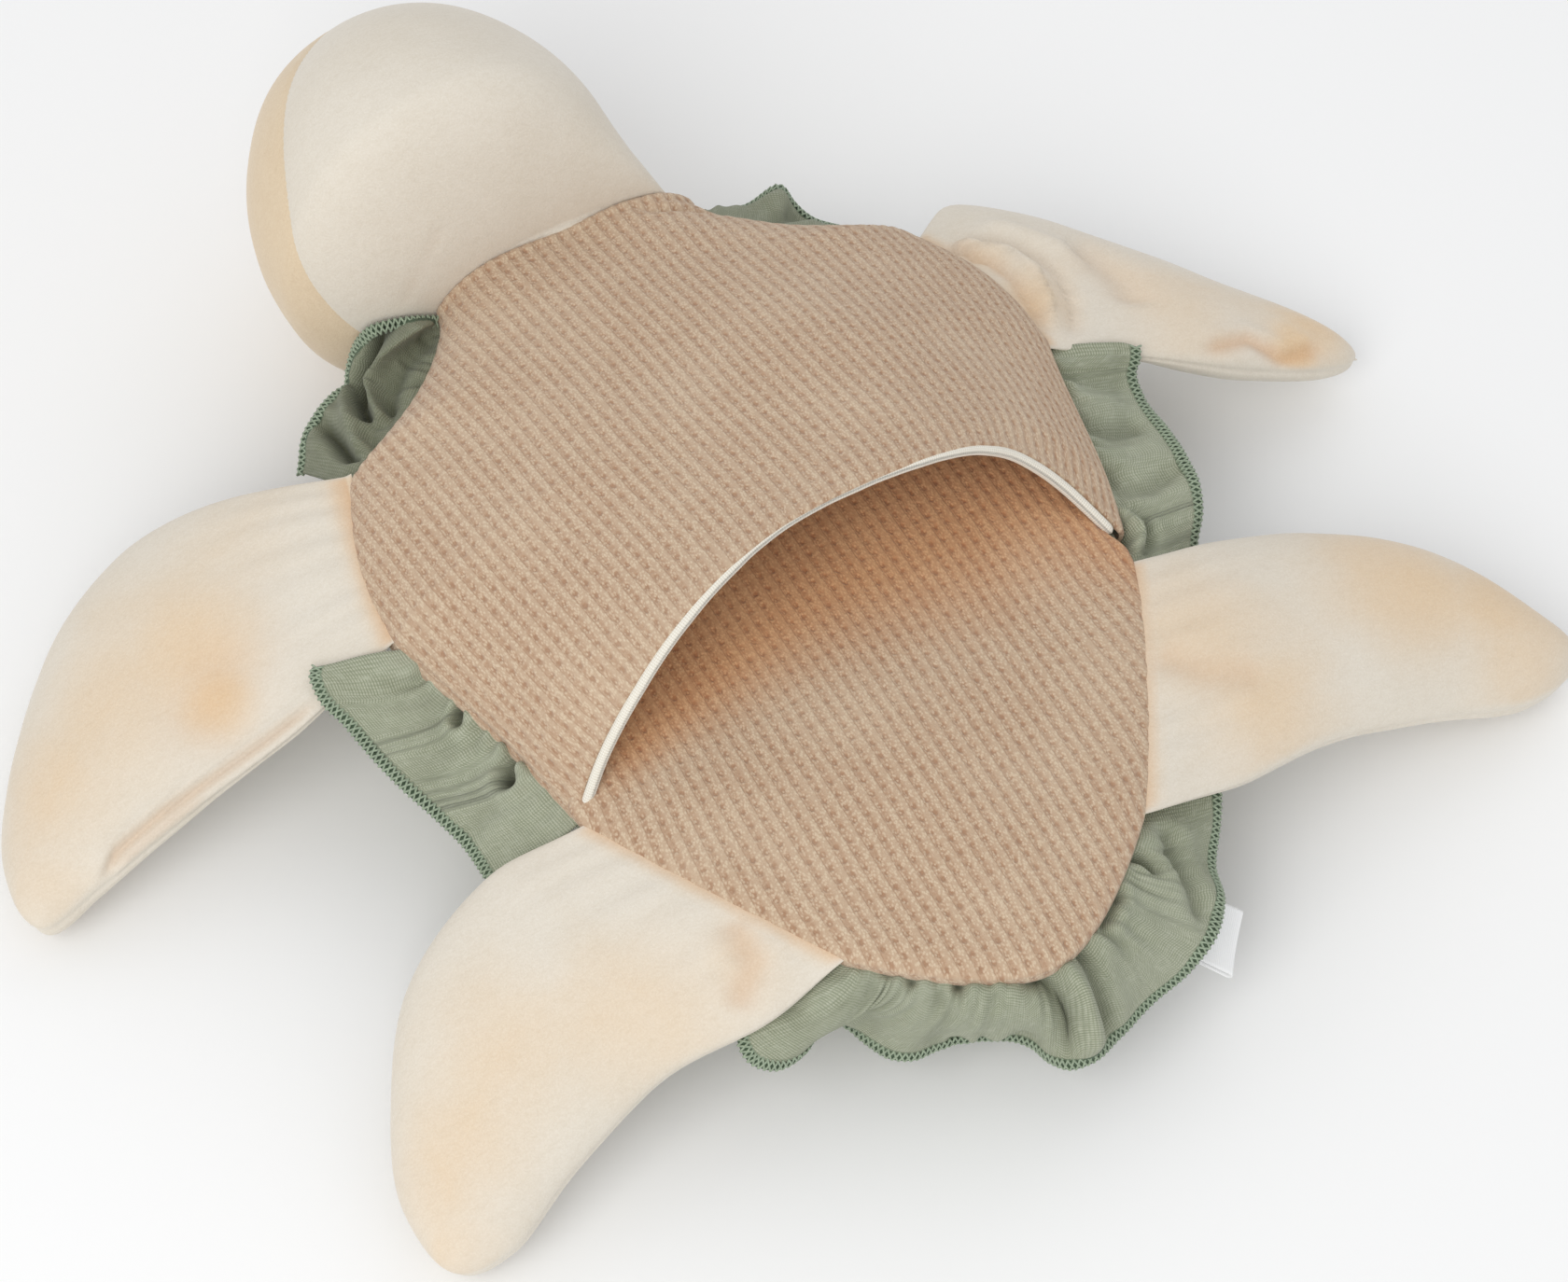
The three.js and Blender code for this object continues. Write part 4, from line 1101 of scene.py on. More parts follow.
class StitchTree:
    # a Geometry Nodes tree with a geometry input and output, and named inputs
    def __init__(self, name):
        self.tree = bpy.data.node_groups.new(name, "GeometryNodeTree")
        self.tree.interface.new_socket(name="Geometry", in_out="INPUT", socket_type="NodeSocketGeometry")
        self.tree.interface.new_socket(name="Geometry", in_out="OUTPUT", socket_type="NodeSocketGeometry")
        self.start = self.tree.nodes.new("NodeGroupInput")
        self.end = self.tree.nodes.new("NodeGroupOutput")
        self.ids = {}

    def ask(self, kind, *names):
        for name in names:
            self.ids[name] = self.tree.interface.new_socket(name=name, in_out="INPUT",
                                                            socket_type=kind).identifier

    def given(self, name):
        return self.start.outputs[name]

    def add(self, kind, settings=None, values=None):
        made = self.tree.nodes.new(kind)
        for key, value in (settings or {}).items():
            setattr(made, key, value)
        for key, value in (values or {}).items():
            if isinstance(value, bpy.types.NodeSocket):
                self.tree.links.new(value, made.inputs[key])
            else:
                made.inputs[key].default_value = value
        return made

    def out(self, kind, settings=None, values=None):
        return self.add(kind, settings, values).outputs[0]

    def maths(self, operation, first, second):
        return self.out("ShaderNodeMath", dict(operation=operation), {0: first, 1: second})

    def circle(self, steps, radius):
        return self.out("GeometryNodeCurvePrimitiveCircle", dict(mode="RADIUS"),
                        {"Resolution": steps, "Radius": radius})

    def vector(self, name):
        return self.out("GeometryNodeInputNamedAttribute", dict(data_type="FLOAT_VECTOR"), {"Name": name})

    def close(self, geometry, material):
        real = self.out("GeometryNodeRealizeInstances", None, {"Geometry": geometry})
        dressed = self.out("GeometryNodeSetMaterial", None, {"Geometry": real, "Material": material})
        self.tree.links.new(dressed, self.end.inputs[0])
        return self


def overlockTree():
    # a flat loop of thread round the cloth's edge at every point, leaning one way and then the other
    made = StitchTree("overlock_stitches")
    made.ask("NodeSocketFloat", "Reach", "Lift", "Thread", "Lean")
    made.ask("NodeSocketMaterial", "Thread Finish")
    ring = made.circle(12, 1.0)
    profile = made.circle(5, made.given("Thread"))
    parts = made.add("ShaderNodeSeparateXYZ", None, {"Vector": made.out("GeometryNodeInputPosition")})
    x, y = parts.outputs[0], parts.outputs[1]
    back = made.maths("SUBTRACT", made.maths("MULTIPLY", x, made.given("Reach")), made.given("Reach"))
    high = made.maths("MULTIPLY", y, made.given("Lift"))
    lean = made.maths("MULTIPLY", x, made.given("Lean"))
    both = made.add("GeometryNodeJoinGeometry")
    for side in (1, -1):
        aside = made.maths("MULTIPLY", lean, side * 0.6)
        place = made.out("ShaderNodeCombineXYZ", None, {"X": aside, "Y": back, "Z": high})
        shaped = made.out("GeometryNodeSetPosition", None, {"Geometry": ring, "Position": place})
        loop = made.out("GeometryNodeCurveToMesh", None, {"Curve": shaped, "Profile Curve": profile})
        made.tree.links.new(loop, both.inputs[0])
    turn = made.out("FunctionNodeAxesToRotation", dict(primary_axis="Z", secondary_axis="X"),
                    {0: made.vector("threadUp"), 1: made.vector("threadAlong")})
    points = made.out("GeometryNodeMeshToPoints", None, {"Mesh": made.given("Geometry")})
    placed = made.out("GeometryNodeInstanceOnPoints", None,
                      {"Points": points, "Instance": both.outputs[0], "Rotation": turn})
    return made.close(placed, made.given("Thread Finish"))


overlock = overlockTree()


def pointCloud(name, points, along, upright):
    mesh = bpy.data.meshes.new(name)
    mesh.vertices.add(len(points))
    mesh.vertices.foreach_set("co", inMetres(points))
    addMarks(mesh, dict(threadAlong=along, threadUp=upright), "FLOAT_VECTOR", "vector")
    return linked(name, mesh)


def stitched(piece, maker, inputs):
    modifier = piece.modifiers.new("stitches", "NODES")
    modifier.node_group = maker.tree
    for key, value in inputs.items():
        modifier[maker.ids[key]] = value
    return smoothShade(finished(piece))


def threadTree():
    # one thread laid along each edge of the input, round in section
    made = StitchTree("satin_stitches")
    made.ask("NodeSocketFloat", "Thread")
    made.ask("NodeSocketMaterial", "Thread Finish")
    curves = made.out("GeometryNodeMeshToCurve", None, {"Mesh": made.given("Geometry")})
    laid = made.out("GeometryNodeCurveToMesh", None,
                    {"Curve": curves, "Profile Curve": made.circle(6, made.given("Thread")),
                     "Fill Caps": True})
    return made.close(laid, made.given("Thread Finish"))


satinStitch = threadTree()


def buildEyes():
    centre, nose, chin = headAxes()
    left = np.cross(nose, chin)
    co, faces, base = [], [], 0
    for mesh in (piece.data for piece in headPieces):
        co += [v.co.copy() for v in mesh.vertices]
        faces += [[base + k for k in p.vertices] for p in mesh.polygons]
        base += len(mesh.vertices)
    surface = BVHTree.FromPolygons(co, faces)
    for name, side, node in (("left_eye_stitching", 1, "left_eye"), ("right_eye_stitching", -1, "right_eye")):
        a, b = math.radians(eye["fromCrown"]), math.radians(eye["fromSide"])
        level = nose * math.sin(b) + left * side * math.cos(b)
        direction = -chin * math.cos(a) + level * math.sin(a)
        start = Vector((centre + direction * 200) * mm)
        spot, normal, _, _ = surface.ray_cast(start, Vector(-direction))
        spot, normal = np.array(spot) / mm, np.array(normal)
        if normal @ direction < 0:
            normal = -normal
        one = unit(np.cross(normal, chin))
        two = np.cross(normal, one)
        co, edges = [], []
        for row in np.arange(eye["margin"] - eye["radius"], eye["radius"], eye["threadPitch"]):
            half = math.sqrt(max(0.2, eye["radius"] ** 2 - row ** 2))
            for k, t in enumerate(np.linspace(-1, 1, eye["threadSteps"])):
                r2 = (row ** 2 + (t * half) ** 2) / eye["radius"] ** 2
                rise = eye["height"] * math.sqrt(max(0, 1 - min(1, r2) ** eye["roundness"])) - eye["sunk"]
                hit, _, _, _ = surface.find_nearest(Vector((spot + one * row + two * t * half) * mm))
                co.append(np.array(hit) / mm + normal * rise)
                if k:
                    edges.append((len(co) - 2, len(co) - 1))
        mesh = bpy.data.meshes.new(name)
        mesh.from_pydata([tuple(p * mm) for p in co], edges, [])
        piece = linked(name, mesh)
        stitched(piece, satinStitch, {"Thread": eye["threadRadius"] * mm, "Thread Finish": finishes["eye"]})
        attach(piece, "head")
        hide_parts(node)


buildEyes()
print("eyes made")


# flippers
flipper = dict(sections=110, arc=46, puff=0.45, softness=11, crowding=0.7, rollRadius=2, rollGap=0.15,
               rollSteps=4, seamDepth=0.6, seamWidth=1.8, plump=0.3, fullness=0.7, gathers=9,
               gatherDepth=0.45, blendReach=13)
flipperForms = {
    "front_right": dict(root=("frontHead", "frontTail"), side=-1, droop=22.9, thick=26,
                        outline=((0, -3), (35.6, -13.8), (69.7, -13.4), (95.2, 6.9), (113.3, 35.2),
                                 (123, 66.1), (116.5, 89.4)),
                        trailing=((98.1, 85.8), (66.6, 76.6), (34.3, 68.2), (0, 54.3))),
    "rear_right": dict(root=("rearHead", "rearTail"), side=-1, droop=24.4, thick=30,
                       outline=((0, 1), (24.9, -16.2), (58.1, -20.6), (87.9, -9.8), (110.3, 7),
                                (118.2, 28.2)),
                       trailing=((105.6, 38.4), (80.3, 42.7), (50.2, 52.5), (25.5, 68.9), (0, 80))),
    "front_left": dict(root=("frontHead", "frontTail"), side=1, droop=28.1, thick=23,
                       outline=((0, 3), (22, -6.6), (30, -5.2), (44.1, 4.4), (60.9, 28.8), (83.8, 59.8),
                                (99.2, 84.7), (101.9, 95.9)),
                       trailing=((86.2, 97.2), (61.4, 88.1), (30.1, 71.8), (0, 55.5))),
    "rear_left": dict(root=("rearHead", "rearTail"), side=1, droop=21.2, thick=30,
                      outline=((0, 0), (28.2, -14.6), (62.2, -25.1), (95.5, -25), (120.4, -12.2),
                               (135.6, 0.1)),
                      trailing=((121, 17.5), (87.6, 30.9), (56, 46), (27.9, 65.8), (0, 80.5))),
}
# creases in each flipper's own plane: points, width, depth, lip beside it, and how peach it is, the peach
# being painted shade in the crease
creases = {
    "front_right": ((((22, 62), (34.1, 65.7), (44.5, 68.6), (58.6, 71.9), (72.9, 75), (88, 80), (97, 87)),
                     1.1, 2.2, 1.2, 0.3),
                    (((60, 75.4), (71.6, 78.2), (86.1, 83.2), (96, 88.5)), 2.0, 0, 0, 0.42),
                    (((46, 44), (52, 54)), 9, 1.7, 0, 0.2)),
    "rear_right": ((((4, 48), (12, 60), (26, 62)), 3.2, 1.1, 0.5, 0.35),),
    "front_left": ((((1, 8), (6, 15), (10, 24), (9.6, 32.6), (5.4, 43), (1, 52)), 1.9, 1.9, 0, 0.34),
                   (((2, 8.9), (10.9, 15.1), (17.3, 23.5), (17.2, 33.5), (12.2, 43.4), (3.9, 54)),
                    1.7, -2.9, 0, 0),
                   (((9.2, 8), (18.5, 15.5), (23.6, 25.5), (23.8, 36), (17.5, 48), (8, 57)),
                    2.0, 2.1, 0, 0.1),
                   (((21, 7), (28.5, 18), (33, 28), (34, 38)), 3.2, -2.4, 0, 0),
                   (((36, 27), (40, 37), (40, 48), (35, 57)), 6, 2.8, 0, 0.14),
                   (((44, 77), (60, 81), (69, 90), (86, 93)), 1.8, 1.3, 0.8, 0.5)),
    "rear_left": ((((3, 30), (16, 36), (34, 34)), 4, 0.9, 0.4, 0.25),),
}
# peach patches on the pile, painted shade where they lie in hollows: place in the flipper's plane, radius and
# strength
peachSpots = {
    "front_right": ((49, 52, 13, 0.76), (50, 37, 26, 0.5), (106, 84, 16, 0.32), (30, 20, 30, 0.2),
                    (75, 40, 34, 0.32), (100, 55, 30, 0.3)),
    "rear_right": ((12, 56, 14, 0.34), (34, 44, 24, 0.32), (70, 5, 30, 0.22), (95, 15, 26, 0.36),
                   (111, 30, 16, 0.34)),
    "front_left": ((74, 90, 9, 0.8), (86, 87, 12, 0.5), (8, 42, 14, 0.5), (8, 20, 10, 0.35),
                   (40, 66, 22, 0.25)),
    "rear_left": ((39, 47, 26, 0.5), (106, -9, 28, 0.52), (77, -11, 30, 0.58), (115, 14, 22, 0.5),
                  (14, 20, 26, 0.5)),
}


def between(t, a, ta, b, tb):
    return (tb - t) / (tb - ta) * a + (t - ta) / (tb - ta) * b


def centripetal(points, count):
    # a smooth curve through points, as in the solids
    p = np.asarray(points, float)
    ends = np.vstack([2 * p[0] - p[1], p, 2 * p[-1] - p[-2]])
    made = []
    for four in zip(ends, ends[1:], ends[2:], ends[3:]):
        gaps = [max(1e-6, np.linalg.norm(b - a) ** 0.5) for a, b in zip(four, four[1:])]
        at = [0.0, gaps[0], gaps[0] + gaps[1], sum(gaps)]
        t = np.linspace(at[1], at[2], count)[:, None]
        three = [between(t, four[k], at[k], four[k + 1], at[k + 1]) for k in range(3)]
        two = [between(t, three[k], at[k], three[k + 1], at[k + 2]) for k in range(2)]
        made.append(between(t, two[0], at[1], two[1], at[2])[:-1])
    return np.vstack([*made, p[-1:]])


def flipperAxes(form):
    # origin, directions out, along towards the tail, and up from the flipper's plane
    start, end = np.array(seam[form["root"][0]]), np.array(seam[form["root"][1]])
    along = unit(end - start)
    outward = np.array([-along[1], along[0]])
    mirror = np.array([form["side"], 1, 1])
    droop = math.radians(form["droop"])
    origin = np.array([*start, seam["height"]]) * mirror
    out = np.array([*(outward * math.cos(droop)), -math.sin(droop)]) * mirror
    lift = np.array([*(outward * math.sin(droop)), math.cos(droop)]) * mirror
    return origin, out, np.array([*along, 0]) * mirror, lift


def creaseField(name, plane):
    # how far the creases raise the pile, how much painted shade colours them, and how peach the pile is away
    # from them
    rise = np.zeros(plane.shape[:-1])
    tint = np.zeros(plane.shape[:-1])
    for line, width, depth, lip, peach in creases[name]:
        distance, where = strokeDistance(plane, line)
        fade = endFade(where, 0.18, 0.15) if len(line) > 2 else 1
        rise -= depth * fade * bell(distance, width)
        rise += lip * fade * bell(distance - width * 2.1, width * 1.1)
        tint = np.maximum(tint, peach * fade * bell(distance, width * 1.3))
    warm = np.zeros(plane.shape[:-1])
    for x, y, radius, strength in peachSpots[name]:
        away = (plane[..., 0] - x) ** 2 + (plane[..., 1] - y) ** 2
        warm = np.maximum(warm, strength * np.exp(-away / radius ** 2))
    return rise, tint, warm


def buildFlipper(name, form):
    curve = centripetal(form["outline"] + form["trailing"], 60)
    run = runAlong(curve)
    reach = np.linalg.norm(curve - (curve[0] + curve[-1]) / 2, axis=1)
    tip = run[np.argmax(reach)] / run[-1]
    far = np.linspace(0, 1, flipper["sections"])
    far = lerp(far, np.sin(far * np.pi / 2), 0.55)
    eased = lerp(far, np.sin(far * np.pi / 2), flipper["crowding"])
    lead, trail = (traced(share * run[-1], run, curve) for share in (tip * eased, 1 - (1 - tip) * eased))
    halfChord = np.linalg.norm(lead - trail, axis=1) / 2
    swell = np.sin(np.minimum(1, far / flipper["puff"]) * np.pi / 2) ** flipper["fullness"]
    rootHalf = flipper["rollRadius"] - flipper["rollGap"]
    full = lerp(rootHalf, form["thick"] / 2, swell) * halfChord / np.hypot(halfChord, flipper["softness"])
    angle = np.linspace(0, 2 * np.pi, 2 * flipper["arc"], endpoint=False)
    mix = (1 - np.cos(angle)) / 2
    plane = lead[:, None] + (trail - lead)[:, None] * mix[None, :, None]
    height = full[:, None] * np.sin(angle)[None]
    origin, out, along, lift = flipperAxes(form)
    crease, tint, warm = creaseField(name, plane)
    top = smooth(np.sin(angle) * 2.5)[None]
    rim = np.minimum(np.abs(np.sin(angle))[None] * np.maximum(halfChord, 1)[:, None], 30)
    dent = flipper["seamDepth"] * bell(rim, flipper["seamWidth"])
    grid = origin + plane[..., :1] * out + plane[..., 1:] * along + height[..., None] * lift
    normal = gridNormals(grid, True)
    if (normal[30, flipper["arc"] // 2] @ lift) < 0:
        normal = -normal
    near = smooth(far / 0.12)[:, None]
    end = smooth((1 - far) / 0.02)[:, None]
    uneven = (softNoise(grid, 30, 41) * 0.9 + softNoise(grid, 13, 42) * 0.25) * near * end
    grid = grid + normal * (uneven - flipper["plump"] * near * end - dent * near * end)[..., None]
    # soft gathers run out from the root
    turn = 2 * np.pi * mix[None] * flipper["gathers"] + softNoise(mix[:, None] * 9, 1, 44)[None] * 2.5
    gather = np.sin(turn) * flipper["gatherDepth"] * np.abs(np.sin(angle))[None]
    gather = gather * (smooth(far / 0.03) * (1 - smooth((far - 0.04) / 0.2)))[:, None]
    grid = grid + normal * (gather + crease * top * smooth(far / 0.03)[:, None] * end)[..., None]
    # the root is rolled under, inside the body's seam
    roll, steps = [], flipper["rollSteps"]
    rootPlane = lead[0] + (trail - lead)[0] * mix[:, None]
    rootShare = halfChord[0] / np.hypot(halfChord[0], flipper["softness"])
    for k in range(steps, 0, -1):
        a = math.pi / 2 * k / steps
        shrink = math.cos(a) if k < steps else 0.02
        rootHeight = rootHalf * shrink * np.sin(angle) * rootShare
        roll.append(origin + (rootPlane[:, :1] - flipper["rollRadius"] * math.sin(a)) * out
                    + rootPlane[:, 1:] * along + rootHeight[:, None] * lift)
    edgeward = clampUnit(1 - np.abs(mix - 0.5)[None] * 2)
    # painted light and shade in the blush: peach in the middle of each face and paler towards the edges as
    # painted sheen, peach at the root as painted shade, over random tone
    blush = 0.05 + 0.22 * edgeward * smooth(far / 0.3)[:, None] + 0.12 * softNoise(grid, 38, 43) + warm * top
    blush = np.maximum(blush, 0.55 * bell(far, 0.03)[:, None] * top)
    blush = np.concatenate([np.repeat(blush[:1], steps, 0), blush])
    # painted shade: the hollow colour along the root, where the pile meets the seam
    tint = np.maximum(tint, 0.5 * bell(far, 0.013)[:, None])
    tint = np.concatenate([np.zeros((steps, len(angle))), tint * top])
    grid = np.concatenate([np.array(roll), grid])
    rows, columns = grid.shape[:2]
    points = np.vstack([grid.reshape(-1, 3), grid[-1].mean(0), grid[0].mean(0)])
    piece = makeMesh(name + "_flipper_velour", points, gridFaces(rows, columns, True), None,
                     {"blush": np.r_[blush.ravel(), blush[-1].mean(), 0.2],
                      "crease": np.r_[tint.ravel(), 0, 0]})
    ring, count = np.arange(columns), rows * columns
    addFan(piece, np.vstack([fanFaces(count - columns + ring, count),
                             fanFaces(ring, count + 1)[:, [1, 0, 2]]]))
    cleaned(piece)
    dress(piece, finishes["ivory"])
    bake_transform(piece)
    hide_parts(f"{name}_flipper_belly_panel", f"{name}_flipper_back_panel",
                f"{name}_flipper_stuffing")


for flipperName, flipperForm in flipperForms.items():
    buildFlipper(flipperName, flipperForm)
print("flippers made")


# ruffle
ruffle = dict(width=33, turned=3, rows=unlessQuick(44), step=unlessQuick(0.75), seamZ=55.2,
              inset=1.4, leave=22, endGap=2.0, thickness=0.45, edgeBand=3.3, gatherPitch=9.0,
              gatherDepth=0.7, foldDepth=1.3, tuckPitch=9.0, tuckDepth=1.7, tuckWidth=1.0, tuckReach=10,
              endReach=11, stitchPitch=1.6, shade=dict(neck_right=0.46, neck_left=0.3, tail=0.05))
# overlock: how far a loop reaches over the edge, its half height, its thread, and its lean in stitches
edging = dict(reach=1.7, lift=0.5, thread=0.32, lean=0.9, out=0.25)
# free edges, from the head end to the tail end of each strip: share along the seam, x, y, z
freeEdges = {
    "tail": ((0, 72.8, -95.3, 40.5), (.03, 68.4, -102.4, 37), (.08, 61.7, -111.1, 34.7),
             (.14, 55.6, -124.4, 38.8), (.20, 48.2, -132.3, 39.8), (.27, 39.4, -135, 34.8),
             (.34, 28.1, -135.8, 29), (.42, 15, -139.7, 27.1), (.48, 4.5, -142.3, 27),
             (.52, -.9, -140.9, 26.1), (.55, -3.6, -136.2, 24.2), (.58, -5.5, -128.7, 22.4),
             (.62, -9.3, -124.1, 22.1), (.68, -17.5, -119.7, 22), (.74, -27.1, -117.7, 22.5),
             (.78, -34.6, -117.4, 23.6), (.81, -39.7, -114.5, 24.4), (.84, -43.2, -107.5, 25),
             (.86, -45.2, -101.2, 25.6), (.885, -48.8, -96.9, 26.5), (.9, -52.6, -95.2, 28),
             (.92, -55.1, -98.6, 31), (.945, -62.4, -106.5, 33), (.965, -69.9, -107.6, 34.5),
             (.98, -75.7, -103.7, 37.5), (.99, -76.3, -98.3, 41.5), (1, -73.6, -94, 44)),
    "side_left": ((0, 128.6, 36.2, 49.4), (.05, 127.4, 34.4, 47.6), (.1, 125.4, 33, 45),
                  (.24, 123.9, 25.9, 42), (.4, 122.4, 10.9, 45.6), (.56, 120.2, -2, 49.2),
                  (.72, 118, -11.7, 49.7), (.86, 115.5, -17.5, 46.5), (1, 110.5, -23.6, 39.6)),
    "side_right": ((0, -123.8, 49.8, 55.6), (.05, -125.4, 47.9, 55), (.09, -125.8, 45.5, 54.3),
                   (.14, -125.8, 41.4, 52.2), (.22, -123, 34.2, 48.6), (.31, -120.9, 23.2, 46.8),
                   (.58, -117.8, 11.1, 44.4), (.76, -112.8, -1.5, 40.2), (.88, -110.2, -10.7, 38.3),
                   (1, -109.9, -22, 39.1)),
    "neck_right": ((0, -41.5, 137.6, 58.2), (.05, -45.5, 138, 60.3), (.11, -51.3, 138.8, 62.2),
                   (.17, -56.5, 140.1, 62.3), (.22, -60, 141.4, 61), (.27, -62.9, 142.6, 57.2),
                   (.32, -65.6, 143.4, 51), (.37, -68.9, 140.7, 46), (.43, -70.7, 137.9, 44.8),
                   (.5, -74.1, 137.6, 44.3), (.6, -81.3, 134.4, 43.6), (.76, -88.8, 129, 41.7),
                   (1, -93.8, 122.6, 37.2)),
    "neck_left": ((0, 46, 153, 28), (.1, 54.2, 149.9, 31.1), (.26, 62.6, 145.3, 36.1),
                  (.42, 72.2, 141.2, 43.2), (.5, 73.8, 137.6, 39.7), (.6, 77.1, 132.4, 36),
                  (.78, 84.1, 125.5, 33.6), (1, 92, 118, 31)),
}


# lines that the strips' own ends follow, from the seam to the free edge: head end, tail end
stripEnds = {
    "side_left": (((98, 48, 55.4), (100.1, 46.8, 55.4), (104.5, 45, 55.4), (111, 42.8, 55.2),
                   (117.5, 40.8, 54), (125.7, 38.2, 51.2), (128.6, 36.2, 49.4)), None),
    "side_right": (((-98, 43.5, 58), (-100.6, 42, 58.3), (-105.8, 43.4, 58.8), (-112, 45.6, 58.1),
                    (-118.4, 47.7, 56.9), (-123.8, 49.8, 55.8)), None),
    "tail": (((44, -93, 54), (46, -94.1, 51.5), (51.5, -94.6, 49.5), (59, -95, 46.5), (66.5, -95.2, 43.4),
              (73, -95.4, 40.6)),
             ((-45, -97.5, 54.6), (-55, -94, 51), (-64, -93.2, 47.5), (-73.6, -93.6, 44))),
}
# folds and tucks across the strips: a line in x and y, its width and its rise
stripFolds = {
    "tail": (
        (((-36.8, -104.8), (-36.3, -106.0), (-35.7, -106.6)), 1.3, -3),
        (((-22.9, -114.9), (-22.0, -116.3), (-22.3, -118.4)), 1.5, -3.2),
        (((-18.8, -119.0), (-18.9, -120.6)), 1.4, 1.6),
        (((-11.2, -120.5), (-14.4, -122.0), (-20.0, -123.7)), 4, 2),
        (((-5.9, -122.9), (-1.7, -127.4), (0.1, -131.8), (1.2, -137.2)), 2.8, -6.2),
        (((0.2, -127.0), (3.1, -133.2), (3.6, -138.0)), 3.2, 3.4),
        (((9.5, -126.6), (10.2, -130.9), (11.7, -137.4)), 2.6, -2.4),
        (((26.6, -115.7), (22.6, -118.7), (19.2, -121.2)), 1.6, -3.2),
        (((36.0, -107.1), (38.6, -109.0), (40.5, -112.2)), 1.6, -3.4),
        (((49.5, -104.6), (49.0, -116.6), (48.2, -125.0)), 2.6, -2.6),
        (((-32.1, -109.7), (-32.1, -111.5)), 1.4, -2.4),
        (((-44.1, -101.3), (-48.9, -101.3), (-54.6, -100.9)), 3, 2.2),
        (((-27.5, -111.8), (-27.8, -114.5)), 2.2, 1.2),
    ),
    "side_left": (
        (((99.8, 40.4), (98.0, 35.3), (98.2, 31.2)), 1.6, -3.6),
        (((103.2, 39.4), (106.8, 38.2), (116.1, 37.3)), 3, 1.8),
        (((97.2, 24.8), (100.1, 18.2), (106.0, 15.5), (114.1, 16.2)), 3.6, -2.6),
        (((103.3, 27.1), (110.5, 24.7)), 4, 1.4),
        (((94.4, 2.0), (96.9, -4.2), (105.1, -6.5), (117.0, -3.6)), 3.2, -2.4),
        (((91.4, -13.2), (93.1, -17.4), (92.0, -22.0), (88.6, -24.8)), 2, 3.4),
        (((88.1, -16.4), (88.4, -20.2), (86.3, -23.8)), 1.5, -3.4),
        (((96.0, -18.2), (94.6, -22.6), (91.5, -25.6)), 1.8, -2.4),
    ),
    "side_right": (
        (((-94.2, 33.1), (-93.3, 30.6), (-94.5, 30.1)), 1.3, -3),
        (((-91.0, 22.5), (-93.0, 21.0), (-95.0, 19.7), (-97.4, 17.3)), 1.3, -4),
        (((-90.4, 18.7), (-92.4, 16.7)), 1.6, 1.8), (((-88.2, 10.5), (-87.5, 8.1)), 1.2, -2),
        (((-85.3, 1.6), (-88.7, -0.9), (-91.6, -3.1), (-94.0, -5.2)), 1.7, -5),
        (((-89.3, 2.9), (-90.5, -0.1)), 1.6, 1.8), (((-84.2, -2.1), (-87.0, -4.5), (-90.2, -4.8)), 1.6, 2.4),
        (((-82.2, -8.7), (-84.0, -8.3), (-85.1, -7.3)), 1.4, -3.2),
        (((-81.7, -15.8), (-83.3, -15.2)), 1.3, -2.4),
        (((-93.5, -5.4), (-100.7, -8.0), (-109.3, -8.0)), 2.6, -1.5),
        (((-100.3, 25.3), (-100.6, 16.5), (-109.4, 10.8)), 6, -1.2),
        (((-106.8, 43.2), (-97.9, 40.5)), 5, 1.2),
    ),
    "neck_right": (
        (((-52, 138.6), (-60, 138), (-66.8, 134.2), (-71, 128), (-72.4, 121)), 1.6, -4.2),
        (((-42, 137), (-50, 136.6), (-58.8, 134.6), (-64.6, 130.4), (-68, 124), (-69, 117)), 1.2, 3.4),
        (((-47, 132.5), (-53.5, 130.5), (-60, 126.5), (-65, 120)), 2.4, -2.2),
        (((-66, 141), (-69.5, 138), (-73.2, 130.5), (-76.5, 120.5), (-79.5, 111)), 2.2, 2.8),
        (((-82.5, 131), (-82.5, 125), (-82, 118.5), (-82, 110)), 1.9, -4.0),
    ),
    "neck_left": (
        (((49.7, 138.2), (64.3, 136.6), (73.7, 141.3)), 3, 2), (((60.1, 125.0), (72.9, 130.0)), 3, -2.4),
    ),
}


def seamStretch(name):
    if name == "tail":
        half = seamParts["tail"]
        return np.vstack([half, half[::-1][1:] * [-1, 1]])
    line = seamParts["shoulder" if name.startswith("neck") else "waist"]
    return line * ([1, 1] if name.endswith("left") else [-1, 1])


def tuckField(alongSeam, fromSeam, total, seed):
    # short sharp tucks where the cloth is gathered into the seam
    rise = np.zeros(np.broadcast(alongSeam, fromSeam).shape)
    count = max(2, int(total / ruffle["tuckPitch"]))
    chance = softNoise(np.arange(count * 4)[:, None] * 3.7, 1, seed + 9).reshape(count, 4)
    for k in range(count):
        shift, deep, wide, lean = chance[k]
        at = (k + 0.5 + 0.35 * shift) * total / count
        depth = ruffle["tuckDepth"] * (0.62 + 0.5 * deep)
        width = ruffle["tuckWidth"] * (1.1 + 0.35 * wide)
        reach = ruffle["tuckReach"] + 5 * deep
        aside = alongSeam - at - lean * 0.5 * fromSeam
        fade = smooth(fromSeam / 1.0) * (1 - smooth((fromSeam - reach * 0.25) / (reach * 0.75)))
        width = width * (1 + fromSeam / reach)
        rise += fade * depth * (0.5 * bell(np.abs(aside) - 2.1 * width, 1.2 * width) - bell(aside, width))
    return rise


